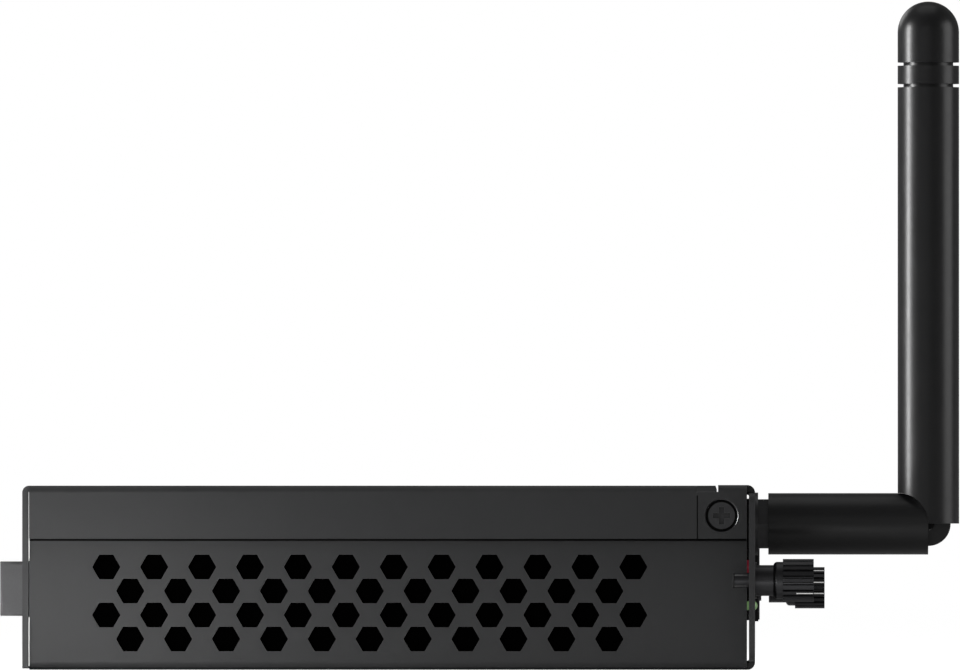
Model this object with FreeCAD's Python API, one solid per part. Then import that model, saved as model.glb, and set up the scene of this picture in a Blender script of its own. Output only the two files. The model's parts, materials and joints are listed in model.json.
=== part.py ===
import FreeCAD, Part
import math
import os

# Slot-in computer module for a display, in millimetres. X runs from the rear plug to the port panel,
# Y across the slot, away from the viewer of the side with the vents, and Z up.
# The origin is the middle of the case's underside.

V = FreeCAD.Vector

# Sheet-metal case
CASE_LENGTH = 119.0
CASE_WIDTH = 180.0
CASE_HEIGHT = 30.0
SHEET = 1.0
TRAY_BEND = 0.25
COVER_BEND = 0.1
LAP_GAP = 0.05
COVER_STEP = 0.1
REAR_GAP = 0.13
CORNER_SLOT = 0.32
FLANGE_REACH = 6.0
SEAM_GAP = 0.42
SKIRT_DEPTH = 8.6
TAB_LENGTH = 8.05
TAB_SEAM = 0.06
BEND_RELIEF = 1.0
TONGUE_LENGTH = 10.0
TONGUE_WIDTH = 24.0
TONGUE_LAP = 6.0
TONGUE_SPREAD = 96.0
EAR_REACH = 10.0
EAR_INSET = 1.4
EAR_CORNER = 1.5

# Hexagonal vents of the two side walls and of the cover over the blower
VENT_FLATS = 4.0
VENT_PITCH = 7.78
VENT_ROW_PITCH = 3.9
VENT_REAR_MARGIN = 13.64
VENT_FRONT_MARGIN = 17.0
VENT_TOP_MARGIN = 4.6
VENT_FLOOR_MARGIN = 3.4
TOP_VENT_FIELD = 19.0
SCREEN_THICKNESS = 0.4
SCREEN_MARGIN = 1.5

# Countersunk screws that close the case
CLOSING_SCREW_INSET = 5.45
CLOSING_SCREW_DROP = 4.97
CLOSING_HEAD = 4.7
CLOSING_SINK = 5.5
CLOSING_SHANK = 2.5
CLOSING_LENGTH = 5.0
CLOSING_RECESS = 2.8
CLOSING_RECESS_DEPTH = 0.3
RECESS_BLADE_SHARE = 0.3
REAR_SCREW_HEIGHT = 13.2
REAR_SCREW_INSET = 15.0

# Captive thumb screws in the ears
THUMB_INSET = 5.0
NEAR_THUMB_HEIGHT = 14.5
FAR_THUMB_HEIGHT = 13.3
THUMB_TRAVEL = 2.3
KNOB_DIAMETER = 7.0
KNOB_LENGTH = 5.0
KNOB_FLUTES = 20
FLUTE_DEPTH = 0.35
FLUTE_RIDGE_SHARE = 0.26
FLUTE_VALLEY_START = 0.4
SHOULDER_DIAMETER = 6.05
SHOULDER_LENGTH = 1.54
SKIRT_DIAMETER = 5.0
SKIRT_LENGTH = 2.89
SKIRT_WALL = 0.2
KNOB_GAP = 0.07
NECK_DIAMETER = 1.8
THUMB_THREAD = 2.25
THUMB_TAIL = 2.6
BUSH_PROUD = 1.1
BUSH_SHANK = 3.6
SLIDE_WASHER = 0.5
THUMB_FIT = 0.05
THUMB_RECESS = 3.2
THUMB_RECESS_DEPTH = 1.0

# Antenna, near the side seen first
ANTENNA_INSET = 15.0
ANTENNA_DROP = 6.27
ANTENNA_DIAMETER = 10.0
ANTENNA_REACH = 28.23
WHIP_LENGTH = 85.07
KNUCKLE_RADIUS = 3.6
KNUCKLE_GAP = 0.15
HINGE_ARC_GAP = 0.02
TONGUE_THICKNESS = 2.4
CHEEK_THICKNESS = 1.3
HINGE_SIDE_GAP = 0.1
HINGE_PIN = 2.0
HINGE_FIT = 0.03
HINGE_SEAT_FIT = 0.01
HINGE_END_GAP = 0.05
WHIP_GROOVE_WIDTH = 0.55
WHIP_GROOVE_DEPTH = 0.95
WHIP_GROOVE_DROPS = (10.2, 13.7)
JACK_BARREL = 6.2
JACK_FLANGE = 8.2
JACK_FLANGE_THICKNESS = 2.0
JACK_FRONT = 10.5
JACK_REAR = 10.0
JACK_TAIL = 4.0
JACK_SOCKET = 4.6
JACK_SOCKET_DEPTH = 6.0
JACK_FIT = 0.05
LOCK_WASHER = 10.2
LOCK_WASHER_THICKNESS = 0.5
JACK_NUT = 8.0
JACK_NUT_THICKNESS = 1.63
SWIVEL_GAP = 0.02

# Main board, on posts
POST_HEIGHT = 5.35
POST_FLATS = 5.0
POST_BORE = 2.6
BOARD_THICKNESS = 1.6
BOARD_REAR_INSET = 3.1
BOARD_FRONT_INSET = 2.5
BOARD_SIDE_INSET = 5.0
BOARD_HOLE_INSET = 5.5
BOARD_CORNER = 1.5
BOARD_SCREW_HEAD = 5.0
BOARD_SCREW_HEAD_HEIGHT = 1.4
BOARD_SCREW_LENGTH = 6.0
INNER_POST_OFFSET = 10.0
PORT_POST_GAP = 2.0

# Rear plug
PLUG_PROUD = 4.95
PLUG_LENGTH = 11.0
PLUG_WIDTH = 76.0
PLUG_HEIGHT = 8.95
PLUG_LIFT = 0.75
PLUG_WALL = 0.6
PLUG_CORNER = 1.2
PLUG_CHAMFER = 0.4
PLUG_WINDOW_GAP = 0.3
PLUG_BLADE_WIDTH = 64.0
PLUG_BLADE_THICKNESS = 2.6
PLUG_BLADE_INSET = 0.8
PLUG_BASE_DEPTH = 7.0
PLUG_FOOT = 2.0
CONTACT_PITCH = 1.5
CONTACT_WIDTH = 0.7
CONTACT_THICKNESS = 0.25
CONTACT_LENGTH = 2.6

# Ports, from the near antenna to the far one
PORT_MARGIN = 2.0
PORT_WALL = 0.3
PORT_PANEL_GAP = 0.2
POWER_CAP = 6.0
POWER_FLANGE = 7.4
POWER_FLANGE_THICKNESS = 0.9
POWER_HEIGHT = 6.55
POWER_PROUD = 0.3
POWER_BLOCK = 8.0
POWER_BLOCK_HEIGHT = 10.9
RESET_CAP = 2.2
RESET_FLANGE = 3.4
RESET_FLANGE_THICKNESS = 0.6
RESET_HEIGHT = 6.55
RESET_RECESS = 0.2
RESET_BLOCK = 5.0
RESET_BLOCK_HEIGHT = 9.5
BUTTON_STEM = 1.6
BUTTON_STEM_LENGTH = 4.5
BUTTON_FIT = 0.15
BUTTON_BLOCK_LENGTH = 7.0
BUTTON_BLOCK_GAP = 1.3
BUTTON_PANEL_GAP = 0.1
GREEN_LAMP_DIAMETER = 1.4
RED_LAMP_DIAMETER = 2.1
LAMP_LOW = 2.45
LAMP_PITCH = 6.4
LAMP_PROUD = 0.4
LAMP_BODY_WIDTH = 4.4
LAMP_BODY_MARGIN = 0.65
LAMP_BODY_LENGTH = 8.0
LAMP_BODY_GAP = 0.6
AUDIO_WIDTH = 10.0
AUDIO_HEIGHT = 10.0
AUDIO_LENGTH = 13.0
AUDIO_COLLAR = 6.0
AUDIO_BORE = 3.6
AUDIO_BORE_DEPTH = 11.0
AUDIO_RING = 4.8
AUDIO_RING_DEPTH = 1.2
STACK_WIDTH = 13.2
STACK_ROOF = 1.1
STACK_LENGTH = 17.5
STACK_PROUD = 0.3
STACK_MOUTH_HEIGHT = 5.1
STACK_MOUTH_LOW = 1.2
STACK_MOUTH_PITCH = 8.2
STACK_MOUTH_DEPTH = 12.0
STACK_TONGUE_WIDTH = 11.1
STACK_TONGUE_THICKNESS = 1.84
STACK_TONGUE_LENGTH = 10.5
VIDEO_A_WIDTH = 15.0
VIDEO_A_HEIGHT = 5.6
VIDEO_A_TAPER = 1.3
VIDEO_A_LENGTH = 11.0
VIDEO_B_WIDTH = 16.9
VIDEO_B_HEIGHT = 5.8
VIDEO_B_CHAMFER = 1.6
VIDEO_B_LENGTH = 13.0
VIDEO_LIFT = 1.2
VIDEO_FOOT_INSET = 2.0
VIDEO_TONGUE_THICKNESS = 1.0
VIDEO_TONGUE_SIDE = 2.0
VIDEO_TONGUE_INSET = 1.5
VIDEO_PROUD = 0.3
NETWORK_WIDTH = 16.0
NETWORK_HEIGHT = 13.35
NETWORK_LENGTH = 21.3
NETWORK_PROUD = 0.8
NETWORK_MOUTH_WIDTH = 11.8
NETWORK_MOUTH_HEIGHT = 6.9
NETWORK_MOUTH_LIFT = 3.3
NETWORK_MOUTH_DEPTH = 13.0
NETWORK_LATCH_WIDTH = 6.2
NETWORK_LATCH_HEIGHT = 1.5
NETWORK_FACE_INSET = 0.4
NETWORK_PINS = 8
NETWORK_PIN_PITCH = 1.02
NETWORK_PIN_WIDTH = 0.4
NETWORK_PIN_DROP = 2.4

# Processor cooler: plate, flat heat pipe, fins at the far wall and a blower that blows through them
PROCESSOR_OFFSET = 6.0
PROCESSOR_PORT_GAP = 3.7
PROCESSOR_SIDE = 24.0
PROCESSOR_THICKNESS = 1.0
DIE_SIDE = 13.0
DIE_THICKNESS = 0.6
COLD_PLATE_SIDE = 28.0
COLD_PLATE_THICKNESS = 2.4
COLD_PLATE_CORNER = 1.5
COLD_PLATE_SCREW_INSET = 2.8
COLD_SCREW_HEAD = 3.8
COLD_SCREW_HEAD_HEIGHT = 1.6
COLD_SCREW_SHANK = 2.0
COLD_SCREW_GAP = 0.2
PIPE_WIDTH = 8.0
PIPE_THICKNESS = 3.0
PIPE_BEND = 12.0
PIPE_ROUNDING = 0.9
PIPE_END_OVERHANG = 2.0
FIN_THICKNESS = 0.4
FIN_PITCH = 2.8
FIN_DEPTH = 11.0
FIN_HEIGHT = 12.0
FIN_LIFT = 0.3
FIN_PIPE_GAP = 0.05
FIN_WALL_GAP = 4.0
FIN_BEND_GAP = 2.0
BLOWER_POST_GAP = 1.4
BLOWER_RADIUS = 26.0
BLOWER_WALL = 1.2
BLOWER_FLOOR = 1.0
BLOWER_DEPTH = 12.0
BLOWER_LID = 0.8
BLOWER_INLET = 34.0
BLOWER_OUTLET_GAP = 0.5
BLOWER_THROAT = 3.0
ROTOR_RADIUS = 21.5
ROTOR_HUB_RADIUS = 9.0
ROTOR_HEIGHT = 9.0
ROTOR_LIFT = 1.2
ROTOR_BLADES = 15
ROTOR_BLADE_THICKNESS = 0.7
ROTOR_BLADE_SWEEP = 34.0
ROTOR_BLADE_MIDDLE = 0.34
ROTOR_SHAFT = 3.0
ROTOR_FIT = 0.05
ROTOR_WEB = 1.0

# Memory, storage and radio cards, and the clock's cell
MEMORY_POST_GAP = 0.8
MEMORY_EDGE_GAP = 2.0
MEMORY_LENGTH = 67.6
MEMORY_WIDTH = 30.0
MEMORY_THICKNESS = 1.2
MEMORY_SOCKET_HEIGHT = 5.2
MEMORY_SOCKET_DEPTH = 6.5
MEMORY_SOCKET_SIDE = 2.2
MEMORY_SOCKET_WALL = 0.6
MEMORY_ARM_WIDTH = 2.0
MEMORY_ARM_GAP = 0.2
MEMORY_ARM_LENGTH = 24.0
MEMORY_SLOT_LIFT = 2.8
CARD_WIDTH = 22.0
CARD_THICKNESS = 0.8
CARD_SOCKET_DEPTH = 8.0
CARD_SOCKET_HEIGHT = 4.2
CARD_SOCKET_WALL = 0.8
CARD_SLOT_LIFT = 2.4
CARD_ENTRY = 4.0
CARD_SCREW_HEAD = 4.6
CARD_SCREW_HEAD_HEIGHT = 0.8
CARD_SCREW_SHANK = 2.0
CARD_SCREW_LENGTH = 4.0
CARD_SCREW_INSET = 0.4
CARD_POST = 4.0
CARD_GAP = 1.5
CARD_EDGE_GAP = 6.0
STORAGE_LENGTH = 42.0
RADIO_LENGTH = 30.0
SLOT_FIT = 0.05
CHIP_THICKNESS = 1.2
CHIP_GAP = 2.0
CELL_GAP = 1.0
CELL_DIAMETER = 20.0
CELL_THICKNESS = 3.2
CELL_CUP = 1.4
CELL_CUP_FLOOR = 1.0
CELL_CUP_HEIGHT = 3.0
CELL_FIT = 0.2
CELL_CHAMFER = 0.4
CHOKE_SIDE = 6.6
CHOKE_HEIGHT = 3.0
CHOKE_PITCH = 8.4
CHOKE_COUNT = 3
CHOKE_GAP = 0.5
HUB_CHIP_SIDE = 10.0
HUB_CHIP_GAP = 3.0

# Planes and places worked out from the sizes above
rear = -CASE_LENGTH / 2
front = CASE_LENGTH / 2
panel_back = front - SHEET
side = CASE_WIDTH / 2
cover_top = CASE_HEIGHT - COVER_STEP
cover_under = cover_top - SHEET
tray_side = side - SHEET - LAP_GAP
tray_top = cover_under - LAP_GAP
tray_rear = rear + SHEET + REAR_GAP
tray_front = panel_back - CORNER_SLOT
skirt_bottom = cover_top - SKIRT_DEPTH
flange_end = front - FLANGE_REACH
tab_rear = tray_front - TAB_LENGTH
board_bottom = SHEET + POST_HEIGHT
board_top = board_bottom + BOARD_THICKNESS
board_rear = rear + BOARD_REAR_INSET
board_front = front - BOARD_FRONT_INSET
board_side = side - BOARD_SIDE_INSET
pivot_x = front + ANTENNA_REACH
antenna_y = ANTENNA_INSET - side
antenna_z = CASE_HEIGHT - ANTENNA_DROP
thumb_y = side + EAR_REACH - THUMB_INSET
thumb_places = {
    "near": (-thumb_y, NEAR_THUMB_HEIGHT, 0.0),
    "far": (thumb_y, FAR_THUMB_HEIGHT, THUMB_TRAVEL),
}


def point(axis, u, v, w):
    """The point at (u, v) across an axis and w along it."""
    if axis == "X":
        return V(w, u, v)
    if axis == "Y":
        return V(u, w, v)
    return V(u, v, w)


def box(x0, x1, y0, y1, z0, z1):
    return Part.makeBox(x1 - x0, y1 - y0, z1 - z0, V(x0, y0, z0))


def rod(axis, u, v, start, end, radius):
    return Part.makeCylinder(radius, end - start, point(axis, u, v, start), point(axis, 0, 0, 1))


def tube(axis, u, v, start, end, outer, inner):
    return rod(axis, u, v, start, end, outer).cut(rod(axis, u, v, start, end, inner))


def rounded_edges(points, radius):
    """Edges of a closed outline in the plane, with each corner rounded by radius."""
    edges = []
    count = len(points)
    starts = []
    ends = []
    for i, corner in enumerate(points):
        back = (points[i - 1] - corner).normalize()
        ahead = (points[(i + 1) % count] - corner).normalize()
        half = back.getAngle(ahead) / 2
        middle = (back + ahead).normalize()
        centre = corner + middle * (radius / math.sin(half))
        run = radius / math.tan(half)
        starts.append(corner + back * run)
        ends.append(corner + ahead * run)
        edges.append(Part.Arc(starts[-1], centre - middle * radius, ends[-1]).toShape())
    for i in range(count):
        edges.append(Part.makeLine(ends[i], starts[(i + 1) % count]))
    return edges


def prism(axis, start, end, corners, radius=0.0):
    """A solid with the outline through corners, each (u, v), from start to end along an axis."""
    points = [point(axis, u, v, start) for u, v in corners]
    if radius:
        wire = Part.Wire(Part.__sortEdges__(rounded_edges(points, radius)))
    else:
        wire = Part.makePolygon(points + points[:1])
    return Part.Face(wire).extrude(point(axis, 0, 0, end - start))


def rectangle(u0, u1, v0, v1):
    return [(u0, v0), (u1, v0), (u1, v1), (u0, v1)]


def hexagon(u, v, flats):
    """Corners of a hexagon with a flat at its top and bottom."""
    reach = flats / math.sqrt(3)
    return [
        (u + reach * math.cos(math.radians(turn)), v + reach * math.sin(math.radians(turn)))
        for turn in range(0, 360, 60)
    ]


def turned(axis, u, v, profile):
    """A solid turned about an axis through (u, v). The profile's points are (along, radius), or
    (along, radius, "via") for the middle of an arc between its neighbours."""
    points = [(point(axis, u, v + p[1], p[0]), len(p) == 3) for p in profile + profile[:1]]
    edges = []
    for i in range(1, len(points)):
        here, via = points[i]
        before, before_via = points[i - 1]
        if before_via:
            edges.append(Part.Arc(points[i - 2][0], before, here).toShape())
        elif not via:
            edges.append(Part.makeLine(before, here))
    face = Part.Face(Part.Wire(edges))
    return face.revolve(point(axis, u, v, 0), point(axis, 0, 0, 1), 360)


def folded_sheet(line, bend, axis, start, end):
    """A folded sheet. The line is its outer face seen along the axis, walked with the sheet on its left."""
    radius = bend + SHEET
    points = [V(u, v, 0) for u, v in line]
    steps = [(b - a).normalize() for a, b in zip(points, points[1:])]
    lefts = [V(-step.y, step.x, 0) for step in steps]
    outer = [points[0]]
    inner = [points[0] + lefts[0] * SHEET]
    for i, corner in enumerate(points[1:-1]):
        inward = lefts[i] + lefts[i + 1]
        centre = corner + inward * radius
        diagonal = V(inward).normalize()
        outer += [corner - steps[i] * radius, centre - diagonal * radius, corner + steps[i + 1] * radius]
        inner += [centre - lefts[i] * bend, centre - diagonal * bend, centre - lefts[i + 1] * bend]
    outer.append(points[-1])
    inner.append(points[-1] + lefts[-1] * SHEET)

    def placed(flat):
        return point(axis, flat.x, flat.y, start)

    edges = []
    for run in (outer, inner):
        spots = [placed(p) for p in run]
        edges.append(Part.makeLine(spots[0], spots[1]))
        for i in range(1, len(spots) - 2, 3):
            edges.append(Part.Arc(spots[i], spots[i + 1], spots[i + 2]).toShape())
            edges.append(Part.makeLine(spots[i + 2], spots[i + 3]))
    edges.append(Part.makeLine(placed(outer[0]), placed(inner[0])))
    edges.append(Part.makeLine(placed(outer[-1]), placed(inner[-1])))
    wire = Part.Wire(Part.__sortEdges__(edges))
    return Part.Face(wire).extrude(point(axis, 0, 0, end - start))


def fused(first, *others):
    return first.multiFuse(list(others)).removeSplitter()


def cut_all(shape, tools):
    return shape.cut(Part.makeCompound(tools))


def cross_recess(axis, u, v, start, end, reach):
    """Two crossed slots, to be cut from a screw's head."""
    blade = reach * RECESS_BLADE_SHARE
    bars = [
        prism(axis, start, end, rectangle(u - reach / 2, u + reach / 2, v - blade / 2, v + blade / 2)),
        prism(axis, start, end, rectangle(u - blade / 2, u + blade / 2, v - reach / 2, v + reach / 2)),
    ]
    return bars[0].fuse(bars[1])


# Port places: the ports stand in a row from the antenna to the far board post, evenly spaced
port_widths = [
    ("lamps", LAMP_BODY_WIDTH),
    ("power", POWER_BLOCK),
    ("reset", RESET_BLOCK),
    ("line_out", AUDIO_WIDTH),
    ("microphone", AUDIO_WIDTH),
    ("stack_left", STACK_WIDTH),
    ("stack_right", STACK_WIDTH),
    ("video_a", VIDEO_A_WIDTH),
    ("video_b", VIDEO_B_WIDTH),
    ("network", NETWORK_WIDTH),
]
row_start = antenna_y + LOCK_WASHER / 2 + PORT_MARGIN
row_end = board_side - BOARD_HOLE_INSET - POST_FLATS / math.sqrt(3) - PORT_MARGIN
row_spare = row_end - row_start - sum(width for _, width in port_widths)
port_gap = row_spare / (len(port_widths) - 1)
port_y = {}
edge_y = row_start
for port, width in port_widths:
    port_y[port] = edge_y + width / 2
    edge_y += width + port_gap

power_z = board_top + POWER_HEIGHT
reset_z = board_top + RESET_HEIGHT
stack_top = board_top + STACK_MOUTH_LOW + STACK_MOUTH_PITCH + STACK_MOUTH_HEIGHT + STACK_ROOF
lamp_green_z = board_top + LAMP_LOW
lamp_red_z = lamp_green_z + LAMP_PITCH
audio_z = board_top + AUDIO_HEIGHT / 2
plug_low = board_top + PLUG_LIFT
plug_high = plug_low + PLUG_HEIGHT
video_low = board_top + VIDEO_LIFT
video_a_high = video_low + VIDEO_A_HEIGHT
video_b_high = video_low + VIDEO_B_HEIGHT
network_front = front + NETWORK_PROUD
closing_screw_x = front - CLOSING_SCREW_INSET
closing_screw_z = CASE_HEIGHT - CLOSING_SCREW_DROP


def video_a_outline(inset):
    """The port's D shape, narrower at its foot, drawn in by an inset."""
    y = port_y["video_a"]
    half = VIDEO_A_WIDTH / 2 - inset
    low = video_low + inset
    high = video_a_high - inset
    return [
        (y - half + VIDEO_A_TAPER, low),
        (y + half - VIDEO_A_TAPER, low),
        (y + half, low + VIDEO_A_TAPER),
        (y + half, high),
        (y - half, high),
        (y - half, low + VIDEO_A_TAPER),
    ]


def video_b_outline(inset):
    """The port's box with one cut corner, drawn in by an inset."""
    y = port_y["video_b"]
    half = VIDEO_B_WIDTH / 2 - inset
    low = video_low + inset
    high = video_b_high - inset
    return [
        (y - half, low),
        (y + half - VIDEO_B_CHAMFER, low),
        (y + half, low + VIDEO_B_CHAMFER),
        (y + half, high),
        (y - half, high),
    ]


def panel_openings():
    """Everything that is cut through the port panel and its ears."""
    reach = (panel_back - SHEET / 2, front + SHEET / 2)
    gap = PORT_PANEL_GAP
    tools = []
    tools.append(rod("X", antenna_y, antenna_z, *reach, JACK_BARREL / 2 + JACK_FIT))
    for y, z, _ in thumb_places.values():
        tools.append(rod("X", y, z, *reach, BUSH_SHANK / 2))
    tools.append(rod("X", port_y["power"], power_z, *reach, POWER_CAP / 2 + BUTTON_FIT))
    tools.append(rod("X", port_y["reset"], reset_z, *reach, RESET_CAP / 2 + BUTTON_FIT))
    for z, diameter in ((lamp_green_z, GREEN_LAMP_DIAMETER), (lamp_red_z, RED_LAMP_DIAMETER)):
        tools.append(rod("X", port_y["lamps"], z, *reach, diameter / 2 + gap))
    for port in ("line_out", "microphone"):
        tools.append(rod("X", port_y[port], audio_z, *reach, AUDIO_COLLAR / 2 + gap))
    for port in ("stack_left", "stack_right"):
        half = STACK_WIDTH / 2 + gap
        y = port_y[port]
        window = rectangle(y - half, y + half, board_top - gap, stack_top + gap)
        tools.append(prism("X", *reach, window))
    tools.append(prism("X", *reach, video_a_outline(-gap)))
    tools.append(prism("X", *reach, video_b_outline(-gap)))
    half = NETWORK_WIDTH / 2 + gap
    y = port_y["network"]
    window = rectangle(y - half, y + half, board_top - gap, board_top + NETWORK_HEIGHT + gap)
    tools.append(prism("X", *reach, window))
    return tools


def plug_window(start, end):
    """The opening round the rear plug, through the tray's rear wall and the cover's flange."""
    half = PLUG_WIDTH / 2 + PLUG_WINDOW_GAP
    low = plug_low - PLUG_WINDOW_GAP
    high = plug_high + PLUG_WINDOW_GAP
    return prism("X", start, end, rectangle(-half, half, low, high), PLUG_CORNER)


def side_vents():
    """Staggered rows of hexagons that go through both side walls."""
    first = rear + VENT_REAR_MARGIN
    last = front - VENT_FRONT_MARGIN
    top_row = skirt_bottom - VENT_TOP_MARGIN
    rows = int((top_row - VENT_FLOOR_MARGIN) / VENT_ROW_PITCH) + 1
    vents = []
    for row in range(rows):
        z = top_row - row * VENT_ROW_PITCH
        x = first + (row % 2) * VENT_PITCH / 2
        while x <= last:
            vents.append(prism("Y", -side, side, hexagon(x, z, VENT_FLATS)))
            x += VENT_PITCH
    return vents


def vent_screens():
    """Fine dust screens glued behind the vents of both side walls."""
    field = Part.makeCompound(side_vents()).BoundBox
    outer = tray_side - SHEET
    low = max(field.ZMin - SCREEN_MARGIN, SHEET + TRAY_BEND)
    high = field.ZMax + SCREEN_MARGIN
    screens = []
    for sign in (-1, 1):
        low_y, high_y = sorted((sign * (outer - SCREEN_THICKNESS), sign * outer))
        screens.append(box(field.XMin - SCREEN_MARGIN, field.XMax + SCREEN_MARGIN, low_y, high_y, low, high))
    return Part.makeCompound(screens)


def countersink(axis, u, v, face, inward, through):
    """A countersunk hole from a face. inward is 1 where the hole runs along +axis."""
    slope = (CLOSING_SINK - CLOSING_SHANK) / 2
    shank = CLOSING_SHANK / 2
    return turned(
        axis,
        u,
        v,
        [
            (face - inward * slope / 2, 0),
            (face - inward * slope / 2, CLOSING_SINK / 2),
            (face, CLOSING_SINK / 2),
            (face + inward * SHEET, shank + LAP_GAP),
            (face + inward * through, shank + LAP_GAP),
            (face + inward * through, 0),
        ],
    )


def base_tray():
    """Bottom, rear wall, port panel with its ears, top flange and tabs, and the two vented side walls."""
    across = side - SHEET - BEND_RELIEF
    line = [(tray_rear, tray_top), (tray_rear, 0), (front, 0), (front, CASE_HEIGHT)]
    line.append((flange_end, CASE_HEIGHT))
    folded = folded_sheet(line, TRAY_BEND, "Y", -across, across)
    line = [(-tray_side, tray_top), (-tray_side, 0), (tray_side, 0), (tray_side, tray_top)]
    walls = folded_sheet(line, TRAY_BEND, "X", tray_rear, tray_front)
    low = EAR_INSET
    high = CASE_HEIGHT - EAR_INSET
    reach = side + EAR_REACH
    strip = box(panel_back, front, -side, side, low, high)
    ears = prism("X", panel_back, front, rectangle(-reach, reach, low, high), EAR_CORNER).cut(strip)
    line = [(side, skirt_bottom), (side, CASE_HEIGHT), (-side, CASE_HEIGHT), (-side, skirt_bottom)]
    flange = folded_sheet(line, TRAY_BEND, "X", flange_end, tray_front)
    tabs = []
    for sign in (-1, 1):
        low_y, high_y = sorted((sign * (side - SHEET), sign * side))
        tabs.append(box(tab_rear, flange_end, low_y, high_y, skirt_bottom, cover_under))
    # The ears are joined last and not merged, so that the back of each stays a face of its own
    tray = fused(folded, walls, strip, flange, *tabs).multiFuse(ears.Solids)
    tools = panel_openings() + side_vents()
    tools.append(plug_window(tray_rear - SHEET, tray_rear + 2 * SHEET))
    for sign in (-1, 1):
        tools.append(countersink("Y", closing_screw_x, closing_screw_z, sign * side, -sign, 3 * SHEET))
        y = sign * (side - REAR_SCREW_INSET)
        tools.append(rod("X", y, REAR_SCREW_HEIGHT, rear, rear + 3 * SHEET, CLOSING_SHANK / 2 + LAP_GAP))
    return cut_all(tray, tools)


def top_cover():
    """Top plate with vents, rear flange, two side skirts and two tongues under the front flange."""
    seam = flange_end - SEAM_GAP
    line = [(seam, cover_top), (rear, cover_top), (rear, COVER_STEP * 2)]
    plate = folded_sheet(line, COVER_BEND, "Y", -side + BEND_RELIEF, side - BEND_RELIEF)
    line = [(side, skirt_bottom), (side, cover_top), (-side, cover_top), (-side, skirt_bottom)]
    skirts = folded_sheet(line, COVER_BEND, "X", tray_rear, tab_rear - TAB_SEAM)
    strip = box(tab_rear - TAB_SEAM, seam, -side, side, cover_under, cover_top)
    tongues = []
    for sign in (-1, 1):
        y = sign * TONGUE_SPREAD / 2
        start = seam - TONGUE_LAP
        low = cover_under - SHEET
        width = TONGUE_WIDTH / 2
        tongues.append(box(start, start + TONGUE_LENGTH, y - width, y + width, low, cover_under))
    cover = fused(plate, skirts, strip, *tongues)
    tools = [plug_window(rear - SHEET, rear + 2 * SHEET)]
    for sign in (-1, 1):
        y = sign * (side - REAR_SCREW_INSET)
        tools.append(countersink("X", y, REAR_SCREW_HEIGHT, rear, 1, 3 * SHEET))
    return cut_all(cover, tools + top_vents())


def top_vents():
    """Rows of hexagons in a round field above the blower."""
    reach = int(TOP_VENT_FIELD / VENT_ROW_PITCH)
    vents = []
    for row in range(-reach, reach + 1):
        shift = (row % 2) * VENT_PITCH / 2
        for column in range(-reach, reach + 1):
            x = column * VENT_PITCH + shift
            y = row * VENT_ROW_PITCH
            if math.hypot(x, y) <= TOP_VENT_FIELD:
                corners = hexagon(blower_x + x, blower_y + y, VENT_FLATS)
                vents.append(prism("Z", cover_under - SHEET, cover_top + SHEET, corners))
    return vents


def closing_screw(axis, u, v, face, inward):
    """A countersunk screw whose head lies level with a face."""
    shank = CLOSING_SHANK / 2
    screw = turned(
        axis,
        u,
        v,
        [
            (face, 0),
            (face, CLOSING_HEAD / 2),
            (face + inward * SHEET, shank),
            (face + inward * CLOSING_LENGTH, shank),
            (face + inward * CLOSING_LENGTH, 0),
        ],
    )
    start, end = sorted((face, face + inward * CLOSING_RECESS_DEPTH))
    return screw.cut(cross_recess(axis, u, v, start, end, CLOSING_RECESS))


def cover_screws():
    screws = []
    for sign in (-1, 1):
        screws.append(closing_screw("Y", closing_screw_x, closing_screw_z, sign * side, -sign))
        screws.append(closing_screw("X", sign * (side - REAR_SCREW_INSET), REAR_SCREW_HEIGHT, rear, 1))
    return Part.makeCompound(screws)


def screw_bush(y, z):
    """The collar that is pressed into an ear and guides a thumb screw."""
    bore = THUMB_THREAD / 2 + THUMB_FIT
    head = SKIRT_DIAMETER / 2 - SKIRT_WALL - 2 * THUMB_FIT
    profile = [
        (panel_back, bore),
        (panel_back, BUSH_SHANK / 2),
        (front, BUSH_SHANK / 2),
        (front, head),
        (front + BUSH_PROUD, head),
        (front + BUSH_PROUD, bore),
    ]
    return turned("X", y, z, profile)


def thumb_levels(shift):
    """Places along a thumb screw, drawn out by a shift."""
    skirt = front + KNOB_GAP + shift
    shoulder = skirt + SKIRT_LENGTH
    knob = shoulder + SHOULDER_LENGTH
    washer = front + BUSH_PROUD + 2 * THUMB_FIT + shift
    seat = washer + SLIDE_WASHER + 2 * THUMB_FIT
    return skirt, shoulder, knob, washer, seat


def slide_washer(y, z, shift):
    """The loose washer in a thumb screw's skirt, which moves in and out with it but needn't turn."""
    washer = thumb_levels(shift)[3]
    outer = SKIRT_DIAMETER / 2 - SKIRT_WALL - 2 * THUMB_FIT
    return tube("X", y, z, washer, washer + SLIDE_WASHER, outer, NECK_DIAMETER / 2 + THUMB_FIT)


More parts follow.
